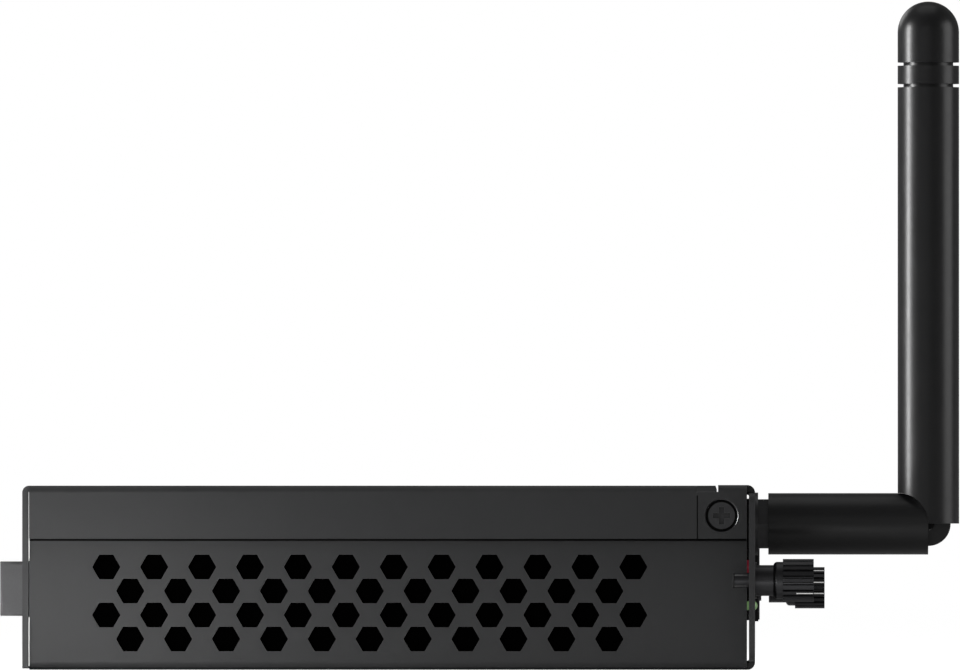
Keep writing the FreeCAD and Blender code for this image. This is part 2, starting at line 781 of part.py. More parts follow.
def thumb_screw(y, z, shift):
    """A fluted knob with a skirt over the bush, a thin neck and a threaded tail behind the ear."""
    skirt, shoulder, knob, _, seat = thumb_levels(shift)
    tail_end = panel_back - THUMB_TAIL + shift
    tail_start = panel_back + shift
    thread = THUMB_THREAD / 2
    neck = NECK_DIAMETER / 2
    bore = SKIRT_DIAMETER / 2 - SKIRT_WALL
    wide = SHOULDER_DIAMETER / 2
    rise = wide - SKIRT_DIAMETER / 2
    body = turned(
        "X",
        y,
        z,
        [
            (tail_end, 0),
            (tail_end, neck),
            (tail_end + thread - neck, thread),
            (tail_start, thread),
            (tail_start, neck),
            (seat, neck),
            (seat, bore),
            (skirt, bore),
            (skirt, SKIRT_DIAMETER / 2),
            (shoulder, SKIRT_DIAMETER / 2),
            (shoulder + rise / 4, wide - rise / 2, "via"),
            (shoulder + rise, wide),
            (knob, wide),
            (knob + KNOB_LENGTH / 2, wide),
            (knob + KNOB_LENGTH / 2, 0),
        ],
    )
    corners = []
    ridge = KNOB_DIAMETER / 2
    valley = ridge - FLUTE_DEPTH
    pitch = 2 * math.pi / KNOB_FLUTES
    outline = [
        (-FLUTE_RIDGE_SHARE, ridge),
        (FLUTE_RIDGE_SHARE, ridge),
        (FLUTE_VALLEY_START, valley),
        (1 - FLUTE_VALLEY_START, valley),
    ]
    for flute in range(KNOB_FLUTES):
        for share, radius in outline:
            turn = (flute + share) * pitch
            corners.append((y + radius * math.cos(turn), z + radius * math.sin(turn)))
    head = prism("X", knob, knob + KNOB_LENGTH, corners)
    screw = body.fuse(head)
    end = knob + KNOB_LENGTH
    return screw.cut(cross_recess("X", y, z, end - THUMB_RECESS_DEPTH, end, THUMB_RECESS))


def antenna_jack():
    """Jack with a six-sided flange behind the panel, a barrel through it and a tail for the lead."""
    y, z = antenna_y, antenna_z
    flange = prism("X", panel_back - JACK_FLANGE_THICKNESS, panel_back, hexagon(y, z, JACK_FLANGE))
    barrel = rod("X", y, z, panel_back - JACK_FLANGE_THICKNESS, front + JACK_FRONT, JACK_BARREL / 2)
    tail = rod("X", y, z, panel_back - JACK_REAR, panel_back, JACK_TAIL / 2)
    socket_start = front + JACK_FRONT - JACK_SOCKET_DEPTH
    socket = tube("X", y, z, socket_start, front + JACK_FRONT, JACK_SOCKET / 2, JACK_SOCKET / 4)
    return fused(flange, barrel, tail).cut(socket)


def antenna_fastener(solid):
    """A washer or nut, bored for the jack."""
    bore = JACK_BARREL / 2 + JACK_FIT
    return solid.cut(rod("X", antenna_y, antenna_z, front, front + JACK_FRONT, bore))


def antenna_washer():
    end = front + LOCK_WASHER_THICKNESS
    return antenna_fastener(rod("X", antenna_y, antenna_z, front, end, LOCK_WASHER / 2))


def antenna_nut():
    start = front + LOCK_WASHER_THICKNESS
    corners = hexagon(antenna_y, antenna_z, JACK_NUT)
    return antenna_fastener(prism("X", start, start + JACK_NUT_THICKNESS, corners))


def hinge_discs(radius, inner, outer):
    """A disc each side of the antenna's middle plane, or one across it where inner is 0."""
    y = antenna_y
    if inner == 0:
        return [rod("Y", pivot_x, antenna_z, y - outer, y + outer, radius)]
    return [
        rod("Y", pivot_x, antenna_z, y - outer, y - inner, radius),
        rod("Y", pivot_x, antenna_z, y + inner, y + outer, radius),
    ]


tongue_half = TONGUE_THICKNESS / 2
cheek_inner = tongue_half + HINGE_SIDE_GAP
cheek_outer = cheek_inner + CHEEK_THICKNESS
antenna_radius = ANTENNA_DIAMETER / 2
base_arc_x = pivot_x - HINGE_END_GAP - antenna_radius


def antenna_base():
    """Round base that swivels on its jack. Its end is square below and round above, and two discs
    hold the pin."""
    y, z = antenna_y, antenna_z
    radius = antenna_radius
    start = front + LOCK_WASHER_THICKNESS + JACK_NUT_THICKNESS + SWIVEL_GAP
    end = pivot_x - HINGE_END_GAP
    body = rod("X", y, z, start, end, radius)
    corner = box(base_arc_x, end, y - radius, y + radius, z, z + radius)
    corner = corner.cut(rod("Y", base_arc_x, z, y - radius, y + radius, radius))
    body = body.cut(corner)
    body = body.cut(rod("X", y, z, start, front + JACK_FRONT + SWIVEL_GAP, JACK_BARREL / 2 + JACK_FIT))
    body = cut_all(body, hinge_discs(KNUCKLE_RADIUS + KNUCKLE_GAP, 0, cheek_inner))
    body = fused(body, *hinge_discs(KNUCKLE_RADIUS, cheek_inner, cheek_outer))
    pin_hole = rod("Y", pivot_x, z, y - cheek_outer, y + cheek_outer, HINGE_PIN / 2 + HINGE_SEAT_FIT)
    return body.cut(pin_hole)


def hinge_pin():
    y = antenna_y
    return rod("Y", pivot_x, antenna_z, y - cheek_outer, y + cheek_outer, HINGE_PIN / 2)


def antenna_whip():
    """Round whip with a domed tip and two grooves. Its foot fits the base's end and a tongue turns
    on the pin."""
    y, z = antenna_y, antenna_z
    top = z + WHIP_LENGTH
    groove = antenna_radius - WHIP_GROOVE_DEPTH
    profile = [(z - antenna_radius, 0), (z - antenna_radius, antenna_radius)]
    for drop in sorted(WHIP_GROOVE_DROPS, reverse=True):
        middle = top - drop
        for along, radius in (
            (middle - WHIP_GROOVE_WIDTH / 2, antenna_radius),
            (middle - WHIP_GROOVE_WIDTH / 2, groove),
            (middle + WHIP_GROOVE_WIDTH / 2, groove),
            (middle + WHIP_GROOVE_WIDTH / 2, antenna_radius),
        ):
            profile.append((along, radius))
    slant = antenna_radius * math.sqrt(0.5)
    profile.append((top - antenna_radius, antenna_radius))
    profile.append((top - antenna_radius + slant, slant, "via"))
    profile.append((top, 0))
    body = turned("Z", pivot_x, y, profile)
    below = rod("Z", pivot_x, y, z - ANTENNA_DIAMETER, z + HINGE_END_GAP, ANTENNA_DIAMETER)
    hollow = rod("Y", base_arc_x, z, y - antenna_radius, y + antenna_radius, antenna_radius + HINGE_ARC_GAP)
    body = cut_all(body, [below, hollow])
    slot_inner = cheek_inner - HINGE_SIDE_GAP
    slot_outer = cheek_outer + HINGE_SIDE_GAP
    body = cut_all(body, hinge_discs(KNUCKLE_RADIUS + KNUCKLE_GAP, slot_inner, slot_outer))
    body = fused(body, *hinge_discs(KNUCKLE_RADIUS, 0, tongue_half))
    return body.cut(rod("Y", pivot_x, z, y - tongue_half, y + tongue_half, HINGE_PIN / 2 + HINGE_FIT))


# Places on the board, from its rear edge forwards and from its near edge across
clear_rear = board_rear + BOARD_HOLE_INSET + BOARD_SCREW_HEAD / 2
memory_start = clear_rear + MEMORY_POST_GAP
memory_back = memory_start + MEMORY_SOCKET_WALL
memory_half = MEMORY_LENGTH / 2
memory_y = -board_side + MEMORY_EDGE_GAP + MEMORY_SOCKET_SIDE + memory_half
memory_end_y = memory_y + memory_half + MEMORY_SOCKET_SIDE
card_socket_half = CARD_WIDTH / 2 + CARD_SOCKET_WALL
card_end_y = -board_side + CARD_EDGE_GAP
storage_x = memory_back + MEMORY_WIDTH + CARD_GAP + card_socket_half
radio_x = storage_x + 2 * card_socket_half + CARD_GAP
storage_socket_y = card_end_y + STORAGE_LENGTH - CARD_ENTRY + CARD_SOCKET_DEPTH / 2
radio_socket_y = card_end_y + RADIO_LENGTH - CARD_ENTRY + CARD_SOCKET_DEPTH / 2
card_screw_y = card_end_y - CARD_SCREW_SHANK / 2 - CARD_SCREW_INSET
card_screw_places = [(storage_x, card_screw_y), (radio_x, card_screw_y)]
cell_cup_radius = CELL_DIAMETER / 2 + CELL_FIT + CELL_CUP
cell_x = storage_x
cell_y = storage_socket_y + CARD_SOCKET_DEPTH / 2 + CELL_GAP + cell_cup_radius
processor_x = front + STACK_PROUD - STACK_LENGTH - PROCESSOR_PORT_GAP - COLD_PLATE_SIDE / 2
processor_y = PROCESSOR_OFFSET
fin_end = side - SHEET - FIN_WALL_GAP
fin_start = fin_end - FIN_DEPTH
fin_middle = (fin_start + fin_end) / 2
blower_low = clear_rear + BLOWER_POST_GAP
blower_x = blower_low + BLOWER_RADIUS
blower_y = fin_start - BLOWER_OUTLET_GAP - BLOWER_THROAT - BLOWER_RADIUS
fin_high = processor_x - PIPE_BEND - FIN_BEND_GAP
cold_reach = COLD_PLATE_SIDE / 2 - COLD_PLATE_SCREW_INSET
cold_screw_places = []
for across in (-1, 1):
    for along in (-1, 1):
        cold_screw_places.append((processor_x + across * cold_reach, processor_y + along * cold_reach))


# Main board and what holds it
post_places = [
    (board_rear + BOARD_HOLE_INSET, -board_side + BOARD_HOLE_INSET),
    (board_rear + BOARD_HOLE_INSET, board_side - BOARD_HOLE_INSET),
    (board_front - BOARD_HOLE_INSET, -board_side + BOARD_HOLE_INSET),
    (board_front - BOARD_HOLE_INSET, board_side - BOARD_HOLE_INSET),
    (blower_x - INNER_POST_OFFSET, (memory_end_y + blower_y - BLOWER_RADIUS) / 2),
    (
        panel_back - PORT_PANEL_GAP - AUDIO_LENGTH - BOARD_SCREW_HEAD / 2 - PORT_POST_GAP,
        radio_socket_y + (CARD_SOCKET_DEPTH + BOARD_SCREW_HEAD) / 2 + PORT_POST_GAP,
    ),
]


def main_board():
    corners = rectangle(board_rear, board_front, -board_side, board_side)
    board = prism("Z", board_bottom, board_top, corners, BOARD_CORNER)
    holes = [rod("Z", x, y, board_bottom, board_top, POST_BORE / 2 + LAP_GAP) for x, y in post_places]
    for x, y in cold_screw_places:
        holes.append(rod("Z", x, y, board_bottom, board_top, COLD_SCREW_SHANK / 2 + LAP_GAP))
    return cut_all(board, holes)


def board_posts():
    posts = []
    for x, y in post_places:
        post = prism("Z", SHEET, board_bottom, hexagon(x, y, POST_FLATS))
        posts.append(post.cut(rod("Z", x, y, SHEET, board_bottom, POST_BORE / 2 + LAP_GAP)))
    return Part.makeCompound(posts)


def pan_screw(x, y, seat, head, head_height, shank, length):
    """A screw with a low round head on a seat and its shank below."""
    body = turned(
        "Z",
        x,
        y,
        [
            (seat - length, 0),
            (seat - length, shank / 2),
            (seat, shank / 2),
            (seat, head / 2),
            (seat + head_height / 2, head / 2),
            (seat + head_height, head / 3),
            (seat + head_height, 0),
        ],
    )
    recess = cross_recess("Z", x, y, seat + head_height / 2, seat + head_height, head / 2)
    return body.cut(recess)


def board_screws():
    length = BOARD_SCREW_LENGTH
    size = (BOARD_SCREW_HEAD, BOARD_SCREW_HEAD_HEIGHT, POST_BORE, length)
    return Part.makeCompound([pan_screw(x, y, board_top, *size) for x, y in post_places])


# Rear plug
plug_front = rear - PLUG_PROUD
plug_back = plug_front + PLUG_LENGTH
plug_middle = (plug_low + plug_high) / 2
plug_base_front = plug_back - PLUG_BASE_DEPTH
blade_front = plug_front + PLUG_BLADE_INSET
blade_low = plug_middle - PLUG_BLADE_THICKNESS / 2
blade_high = plug_middle + PLUG_BLADE_THICKNESS / 2


def rear_plug_shell():
    """Rectangular metal sleeve with round corners and a bevelled front edge."""
    half = PLUG_WIDTH / 2
    outer = prism("X", plug_front, plug_back, rectangle(-half, half, plug_low, plug_high), PLUG_CORNER)
    rim = [edge for edge in outer.Edges if edge.BoundBox.XMax < plug_front + PLUG_CHAMFER / 2]
    outer = outer.makeChamfer(PLUG_CHAMFER, rim)
    wall = PLUG_WALL
    inner = rectangle(-half + wall, half - wall, plug_low + wall, plug_high - wall)
    return outer.cut(prism("X", plug_front, plug_back, inner, PLUG_CORNER - wall))


def rear_plug_body():
    """Moulded base with the long blade that carries the contacts, and a foot down to the board."""
    half = PLUG_WIDTH / 2 - PLUG_WALL - LAP_GAP
    low = plug_low + PLUG_WALL + LAP_GAP
    high = plug_high - PLUG_WALL - LAP_GAP
    outline = rectangle(-half, half, low, high)
    base = prism("X", plug_base_front, plug_back, outline, PLUG_CORNER - PLUG_WALL)
    blade_half = PLUG_BLADE_WIDTH / 2
    blade = box(blade_front, plug_base_front, -blade_half, blade_half, blade_low, blade_high)
    foot = box(plug_back, plug_back + PLUG_FOOT, -half, half, board_top, high)
    return fused(base, blade, foot)


def rear_plug_contacts():
    """Rows of flat contacts on both faces of the blade."""
    count = int((PLUG_BLADE_WIDTH - 2 * CONTACT_PITCH) / CONTACT_PITCH)
    contacts = []
    for i in range(count):
        y = (i - (count - 1) / 2) * CONTACT_PITCH
        for low, high in (
            (blade_high, blade_high + CONTACT_THICKNESS),
            (blade_low - CONTACT_THICKNESS, blade_low),
        ):
            end = plug_base_front
            contacts.append(
                box(end - CONTACT_LENGTH, end, y - CONTACT_WIDTH / 2, y + CONTACT_WIDTH / 2, low, high)
            )
    return Part.makeCompound(contacts)


# Ports
def stack_shells():
    """Double-decker shells, each with two mouths."""
    shells = []
    for port in ("stack_left", "stack_right"):
        y = port_y[port]
        half = STACK_WIDTH / 2
        end = front + STACK_PROUD
        shell = box(end - STACK_LENGTH, end, y - half, y + half, board_top, stack_top)
        inner = half - PORT_WALL
        tools = []
        for deck in range(2):
            low = board_top + STACK_MOUTH_LOW + deck * STACK_MOUTH_PITCH
            tools.append(
                box(end - STACK_MOUTH_DEPTH, end, y - inner, y + inner, low, low + STACK_MOUTH_HEIGHT)
            )
        shells.append(cut_all(shell, tools))
    return Part.makeCompound(shells)


def stack_tongues():
    """The flat tongue at the back of each mouth."""
    tongues = []
    end = front + STACK_PROUD - STACK_MOUTH_DEPTH
    half = STACK_TONGUE_WIDTH / 2
    for port in ("stack_left", "stack_right"):
        y = port_y[port]
        for deck in range(2):
            low = board_top + STACK_MOUTH_LOW + deck * STACK_MOUTH_PITCH
            top = low + STACK_MOUTH_HEIGHT - PORT_WALL * 3
            tongues.append(
                box(end, end + STACK_TONGUE_LENGTH, y - half, y + half, top - STACK_TONGUE_THICKNESS, top)
            )
    return Part.makeCompound(tongues)


def video_port(outline, length):
    """A thin shell of an outline with its foot on the board."""
    end = front + VIDEO_PROUD
    start = end - length
    shell = prism("X", start, end, outline(0))
    shell = shell.cut(prism("X", start + length / 4, end, outline(PORT_WALL)))
    ys = [u for u, _ in outline(0)]
    inset = VIDEO_FOOT_INSET
    foot = box(start, panel_back - PORT_WALL, min(ys) + inset, max(ys) - inset, board_top, video_low)
    return fused(shell, foot)


def video_tongue(outline, length):
    """The blade in the middle of a video port."""
    end = front + VIDEO_PROUD
    ys = [u for u, _ in outline(0)]
    zs = [v for _, v in outline(0)]
    middle = (min(zs) + max(zs)) / 2
    half = VIDEO_TONGUE_THICKNESS / 2
    low_y = min(ys) + VIDEO_TONGUE_SIDE
    high_y = max(ys) - VIDEO_TONGUE_SIDE
    start = end - length * 3 / 4
    return box(start, end - VIDEO_TONGUE_INSET, low_y, high_y, middle - half, middle + half)


network_low_mouth = board_top + NETWORK_MOUTH_LIFT
network_back = network_front - NETWORK_LENGTH


def network_shell():
    """Metal can round the socket, open in front."""
    y = port_y["network"]
    half = NETWORK_WIDTH / 2
    top = board_top + NETWORK_HEIGHT
    can = box(network_back, network_front, y - half, y + half, board_top, top)
    wall = PORT_WALL
    half -= wall
    low = board_top + wall
    return can.cut(box(network_back + wall, network_front, y - half, y + half, low, top - wall))


def network_insert():
    """Moulded block in the can, with the mouth and the step for the latch."""
    y = port_y["network"]
    half = NETWORK_WIDTH / 2 - PORT_WALL - LAP_GAP
    low = board_top + PORT_WALL + LAP_GAP
    high = board_top + NETWORK_HEIGHT - PORT_WALL - LAP_GAP
    face = network_front - NETWORK_FACE_INSET
    block = box(network_back + PORT_WALL + LAP_GAP, face, y - half, y + half, low, high)
    mouth_start = face - NETWORK_MOUTH_DEPTH
    half = NETWORK_MOUTH_WIDTH / 2
    mouth_top = network_low_mouth + NETWORK_MOUTH_HEIGHT
    mouth = box(mouth_start, face, y - half, y + half, network_low_mouth, mouth_top)
    half = NETWORK_LATCH_WIDTH / 2
    latch_low = network_low_mouth - NETWORK_LATCH_HEIGHT
    latch = box(mouth_start, face, y - half, y + half, latch_low, network_low_mouth)
    return cut_all(block, [mouth, latch])


def network_contacts():
    """Slanted spring wires in the roof of the mouth."""
    y = port_y["network"]
    top = network_low_mouth + NETWORK_MOUTH_HEIGHT
    back = network_front - NETWORK_FACE_INSET - NETWORK_MOUTH_DEPTH
    wire = NETWORK_PIN_WIDTH
    wires = []
    for i in range(NETWORK_PINS):
        start = y + (i - (NETWORK_PINS - 1) / 2) * NETWORK_PIN_PITCH - wire / 2
        corners = [
            (back, top - NETWORK_PIN_DROP),
            (back, top - NETWORK_PIN_DROP - wire),
            (back + NETWORK_MOUTH_DEPTH / 2, top - wire),
            (back + NETWORK_MOUTH_DEPTH / 2, top),
        ]
        wires.append(prism("Y", start, start + wire, corners))
    return Part.makeCompound(wires)


def audio_jack(port):
    """Black block with a round collar level with the panel, bored for a plug."""
    y = port_y[port]
    half = AUDIO_WIDTH / 2
    back = panel_back - PORT_PANEL_GAP
    block = box(back - AUDIO_LENGTH, back, y - half, y + half, board_top, board_top + AUDIO_HEIGHT)
    collar = rod("X", y, audio_z, back, front, AUDIO_COLLAR / 2)
    body = block.fuse(collar)
    tools = [
        rod("X", y, audio_z, front - AUDIO_BORE_DEPTH, front, AUDIO_BORE / 2),
        rod("X", y, audio_z, front - AUDIO_RING_DEPTH, front, AUDIO_RING / 2),
    ]
    return cut_all(body, tools)


def audio_ring(port):
    """Coloured ring in the mouth of a jack."""
    start = front - AUDIO_RING_DEPTH
    return tube("X", port_y[port], audio_z, start, front, AUDIO_RING / 2 - LAP_GAP, AUDIO_BORE / 2)


lamp_front = panel_back - LAMP_BODY_GAP


def lamp_body():
    """Black block that holds the two lamps one above the other."""
    y = port_y["lamps"]
    half = LAMP_BODY_WIDTH / 2
    top = lamp_red_z + RED_LAMP_DIAMETER / 2 + LAMP_BODY_MARGIN
    return box(lamp_front - LAMP_BODY_LENGTH, lamp_front, y - half, y + half, board_top, top)


def lamp(z, diameter, proud):
    """A lens from the lamp block through the panel. One that stands proud has a domed end."""
    y = port_y["lamps"]
    radius = diameter / 2
    if not proud:
        return rod("X", y, z, lamp_front, front, radius)
    dome = (radius**2 + proud**2) / (2 * proud)
    slant = math.asin(radius / dome) / 2
    crown = front + proud
    profile = [
        (lamp_front, 0),
        (lamp_front, radius),
        (front, radius),
        (crown - dome * (1 - math.cos(slant)), dome * math.sin(slant), "via"),
        (crown, 0),
    ]
    return turned("X", y, z, profile)


def push_button(port, z, cap, flange, flange_thickness, cap_end):
    """A round cap through the panel, a flange behind it and a stem into its switch."""
    y = port_y[port]
    flange_end_x = panel_back - BUTTON_PANEL_GAP
    flange_start = flange_end_x - flange_thickness
    return fused(
        rod("X", y, z, flange_start, cap_end, cap / 2),
        rod("X", y, z, flange_start, flange_end_x, flange / 2),
        rod("X", y, z, flange_start - BUTTON_STEM_LENGTH, flange_start, BUTTON_STEM / 2),
    )


def button_switch(port, z, width, height, flange_thickness):
    """The switch behind a button, bored for its stem."""
    y = port_y[port]
    face = panel_back - BUTTON_PANEL_GAP - flange_thickness - BUTTON_BLOCK_GAP
    back = face - BUTTON_BLOCK_LENGTH
    half = width / 2
    block = box(back, face, y - half, y + half, board_top, board_top + height)
    bore_start = face - BUTTON_STEM_LENGTH
    return block.cut(rod("X", y, z, bore_start, face, BUTTON_STEM / 2 + BUTTON_FIT))


# Cooler
die_top = board_top + PROCESSOR_THICKNESS + DIE_THICKNESS
cold_top = die_top + COLD_PLATE_THICKNESS
pipe_middle = cold_top + PIPE_THICKNESS / 2


def processor():
    half = PROCESSOR_SIDE / 2
    x, y = processor_x, processor_y
    carrier = box(x - half, x + half, y - half, y + half, board_top, board_top + PROCESSOR_THICKNESS)
    for place_x, place_y in cold_screw_places:
        clear = COLD_SCREW_SHANK / 2 + COLD_SCREW_GAP
        carrier = carrier.cut(rod("Z", place_x, place_y, board_top, die_top, clear))
    half = DIE_SIDE / 2
    die = box(x - half, x + half, y - half, y + half, board_top + PROCESSOR_THICKNESS, die_top)
    return carrier.fuse(die)


def cold_plate():
    half = COLD_PLATE_SIDE / 2
    x, y = processor_x, processor_y
    outline = rectangle(x - half, x + half, y - half, y + half)
    plate = prism("Z", die_top, cold_top, outline, COLD_PLATE_CORNER)
    hole = COLD_SCREW_SHANK / 2 + LAP_GAP
    return cut_all(plate, [rod("Z", u, v, die_top, cold_top, hole) for u, v in cold_screw_places])


def cold_plate_screws():
    length = cold_top - board_bottom
    size = (COLD_SCREW_HEAD, COLD_SCREW_HEAD_HEIGHT, COLD_SCREW_SHANK, length)
    return Part.makeCompound([pan_screw(x, y, cold_top, *size) for x, y in cold_screw_places])


def heat_pipe():
    """Flat pipe that lies on the cold plate, turns once and runs through the fins."""
    start = V(processor_x, processor_y - COLD_PLATE_SIDE / 2 + PIPE_END_OVERHANG, pipe_middle)
    cut_corner = PIPE_BEND * (1 - math.cos(math.radians(45)))
    turn_start = V(processor_x, fin_middle - PIPE_BEND, pipe_middle)
    turn_middle = V(processor_x - cut_corner, fin_middle - cut_corner, pipe_middle)
    turn_end = V(processor_x - PIPE_BEND, fin_middle, pipe_middle)
    end = V(blower_low - PIPE_END_OVERHANG, fin_middle, pipe_middle)
    bend = Part.Arc(turn_start, turn_middle, turn_end).toShape()
    path = Part.Wire([Part.makeLine(start, turn_start), bend, Part.makeLine(turn_end, end)])
    half = PIPE_WIDTH / 2
    thick = PIPE_THICKNESS / 2
    corners = rectangle(processor_x - half, processor_x + half, pipe_middle - thick, pipe_middle + thick)
    points = [V(u, start.y, v) for u, v in corners]
    section = Part.Wire(Part.__sortEdges__(rounded_edges(points, thick * PIPE_ROUNDING)))
    return path.makePipeShell([section], True, False)


def fin_stack():
    """Plates across the heat pipe, joined by a floor and a roof."""
    low = board_top + FIN_LIFT
    high = low + FIN_HEIGHT
    pieces = []
    count = int((fin_high - blower_low) / FIN_PITCH)
    first = blower_low + ((fin_high - blower_low) - count * FIN_PITCH) / 2
    for i in range(count + 1):
        x = first + i * FIN_PITCH
        pieces.append(box(x - FIN_THICKNESS / 2, x + FIN_THICKNESS / 2, fin_start, fin_end, low, high))
    last = first + count * FIN_PITCH
    for plate_low in (low, high - FIN_THICKNESS):
        pieces.append(box(first, last, fin_start, fin_end, plate_low, plate_low + FIN_THICKNESS))
    stack = fused(*pieces)
    gap = FIN_PIPE_GAP
    half = PIPE_WIDTH / 2 + gap
    thick = PIPE_THICKNESS / 2 + gap
    corners = rectangle(fin_middle - half, fin_middle + half, pipe_middle - thick, pipe_middle + thick)
    channel = prism("X", blower_low - FIN_PITCH, fin_high + FIN_PITCH, corners, thick * PIPE_ROUNDING)
    return stack.cut(channel)


def blower_outline(inset, low, high):
    """Round housing with a square mouth towards the fins, drawn in by an inset at its sides."""
    radius = BLOWER_RADIUS - inset
    mouth_end = fin_start - BLOWER_OUTLET_GAP
    drum = rod("Z", blower_x, blower_y, low, high, radius)
    mouth = box(blower_x - radius, blower_x + radius, blower_y, mouth_end, low, high)
    return drum.fuse(mouth).removeSplitter()


blower_floor = board_top + BLOWER_FLOOR
blower_top = board_top + BLOWER_DEPTH
rotor_low = blower_floor + ROTOR_LIFT


def blower_housing():
    """Floor and wall of the blower, and the pin that its rotor turns on."""
    housing = blower_outline(0, board_top, blower_top)
    housing = housing.cut(blower_outline(BLOWER_WALL, blower_floor, blower_top))
    pin_top = rotor_low + ROTOR_HEIGHT / 2
    pin = rod("Z", blower_x, blower_y, blower_floor, pin_top, ROTOR_SHAFT / 2)
    seat = rod("Z", blower_x, blower_y, blower_floor, rotor_low - LAP_GAP, ROTOR_SHAFT)
    return fused(housing, pin, seat)


def blower_lid():
    lid = blower_outline(0, blower_top, blower_top + BLOWER_LID)
    return lid.cut(rod("Z", blower_x, blower_y, blower_top, blower_top + BLOWER_LID, BLOWER_INLET / 2))


def rotor_blade(turn):
    """One blade that curves back from the hub to the rim."""
    inner = ROTOR_HUB_RADIUS - ROTOR_BLADE_THICKNESS
    edges = []
    for offset in (-ROTOR_BLADE_THICKNESS / 2, ROTOR_BLADE_THICKNESS / 2):
        spots = []
        for share, sweep in ((0, 0), (1 / 2, ROTOR_BLADE_MIDDLE), (1, 1)):
            radius = inner + share * (ROTOR_RADIUS - inner)
            angle = math.radians(turn + sweep * ROTOR_BLADE_SWEEP) + offset / radius
            x = blower_x + radius * math.cos(angle)
            y = blower_y + radius * math.sin(angle)
            spots.append(V(x, y, rotor_low))
        edges.append(spots)
    near, far = edges
    outline = Part.Wire(
        [
            Part.Arc(*near).toShape(),
            Part.makeLine(near[2], far[2]),
            Part.Arc(far[2], far[1], far[0]).toShape(),
            Part.makeLine(far[0], near[0]),
        ]
    )
    return Part.Face(outline).extrude(V(0, 0, ROTOR_HEIGHT))


def blower_rotor():
    """Hub cup over the pin, a thin web and a ring of curved blades."""
    x = blower_x
    top = rotor_low + ROTOR_HEIGHT
    hub = rod("Z", x, blower_y, rotor_low, top, ROTOR_HUB_RADIUS)
    web = rod("Z", x, blower_y, rotor_low, rotor_low + ROTOR_WEB, ROTOR_RADIUS)
    blades = [rotor_blade(i * 360 / ROTOR_BLADES) for i in range(ROTOR_BLADES)]
    rotor = fused(hub, web, *blades)
    bore_top = rotor_low + ROTOR_HEIGHT / 2 + LAP_GAP
    return rotor.cut(rod("Z", x, blower_y, rotor_low, bore_top, ROTOR_SHAFT / 2 + ROTOR_FIT))


# Cards, sockets and the clock's cell
def chips(x0, x1, y0, y1, low, count):
    """A row of chips that fills a rectangle."""
    depth = (y1 - y0 - (count - 1) * CHIP_GAP) / count
    row = []
    for i in range(count):
        y = y0 + i * (depth + CHIP_GAP)
        row.append(box(x0, x1, y, y + depth, low, low + CHIP_THICKNESS))
    return row


memory_low = board_top + MEMORY_SLOT_LIFT


def memory_socket():
    """Long block with a slot for the module and an arm at each end."""
    half = memory_half + MEMORY_SOCKET_SIDE
    end = memory_start + MEMORY_SOCKET_DEPTH
    top = board_top + MEMORY_SOCKET_HEIGHT
    block = box(memory_start, end, memory_y - half, memory_y + half, board_top, top)
    arms = []
    arm_end = memory_back + MEMORY_ARM_LENGTH
    for sign in (-1, 1):
        inner = sign * (memory_half + MEMORY_ARM_GAP)
        low, high = sorted((inner, sign * (memory_half + MEMORY_ARM_WIDTH)))
        arms.append(box(end, arm_end, memory_y + low, memory_y + high, board_top, top))
    socket = fused(block, *arms)
    fit = SLOT_FIT
    slot = box(
        memory_back - fit,
        end,
        memory_y - memory_half - fit,
        memory_y + memory_half + fit,
        memory_low - fit,
        memory_low + MEMORY_THICKNESS + fit,
    )
    return socket.cut(slot)


def memory_module():
    """Bare board with its chips on the upper face."""
    board = box(
        memory_back,
        memory_back + MEMORY_WIDTH,
        memory_y - memory_half,
        memory_y + memory_half,
        memory_low,
        memory_low + MEMORY_THICKNESS,
    )
    top = memory_low + MEMORY_THICKNESS
    start = memory_back + MEMORY_SOCKET_DEPTH + CHIP_GAP
    end = memory_back + MEMORY_WIDTH - CHIP_GAP
    low = memory_y - memory_half + CHIP_GAP
    return fused(board, *chips(start, end, low, low + MEMORY_LENGTH - 2 * CHIP_GAP, top, 4))


card_low = board_top + CARD_SLOT_LIFT
card_top = card_low + CARD_THICKNESS


def card_socket(x, y):
    """Edge socket that a card enters from -Y."""
    end = y + CARD_SOCKET_DEPTH / 2
    start = y - CARD_SOCKET_DEPTH / 2
    top = board_top + CARD_SOCKET_HEIGHT
    block = box(x - card_socket_half, x + card_socket_half, start, end, board_top, top)
    fit = SLOT_FIT
    reach = CARD_WIDTH / 2 + fit
    slot = box(x - reach, x + reach, start, start + CARD_ENTRY + fit, card_low - fit, card_top + fit)
    return block.cut(slot)


def card(x, length, rows):
    """Bare board with a row of chips, its free end towards -Y."""
    half = CARD_WIDTH / 2
    end = card_end_y + length
    board = box(x - half, x + half, card_end_y, end, card_low, card_top)
    low = card_end_y + CHIP_GAP * 2
    high = end - CARD_ENTRY - CHIP_GAP
    inner = half - CHIP_GAP
    return fused(board, *chips(x - inner, x + inner, low, high, card_top, rows))


def card_screws():
    """A screw beside each card's free end, whose head laps the card."""
    screws = []
    for x, y in card_screw_places:
        length = CARD_SCREW_LENGTH - CARD_SLOT_LIFT
        size = (CARD_SCREW_HEAD, CARD_SCREW_HEAD_HEIGHT, CARD_SCREW_SHANK, length)
        screws.append(pan_screw(x, y, card_top, *size))
    return Part.makeCompound(screws)


def card_posts():
    posts = []
    for x, y in card_screw_places:
        post = rod("Z", x, y, board_top, card_low, CARD_POST / 2)
        posts.append(post.cut(rod("Z", x, y, board_top, card_low, CARD_SCREW_SHANK / 2 + LAP_GAP)))
    return Part.makeCompound(posts)


cell_low = board_top + CELL_CUP_FLOOR


def cell_holder():
    """Round cup for the cell."""
    outer = cell_cup_radius
    cup = rod("Z", cell_x, cell_y, board_top, board_top + CELL_CUP_HEIGHT, outer)
    return cup.cut(rod("Z", cell_x, cell_y, cell_low, board_top + CELL_CUP_HEIGHT, outer - CELL_CUP))


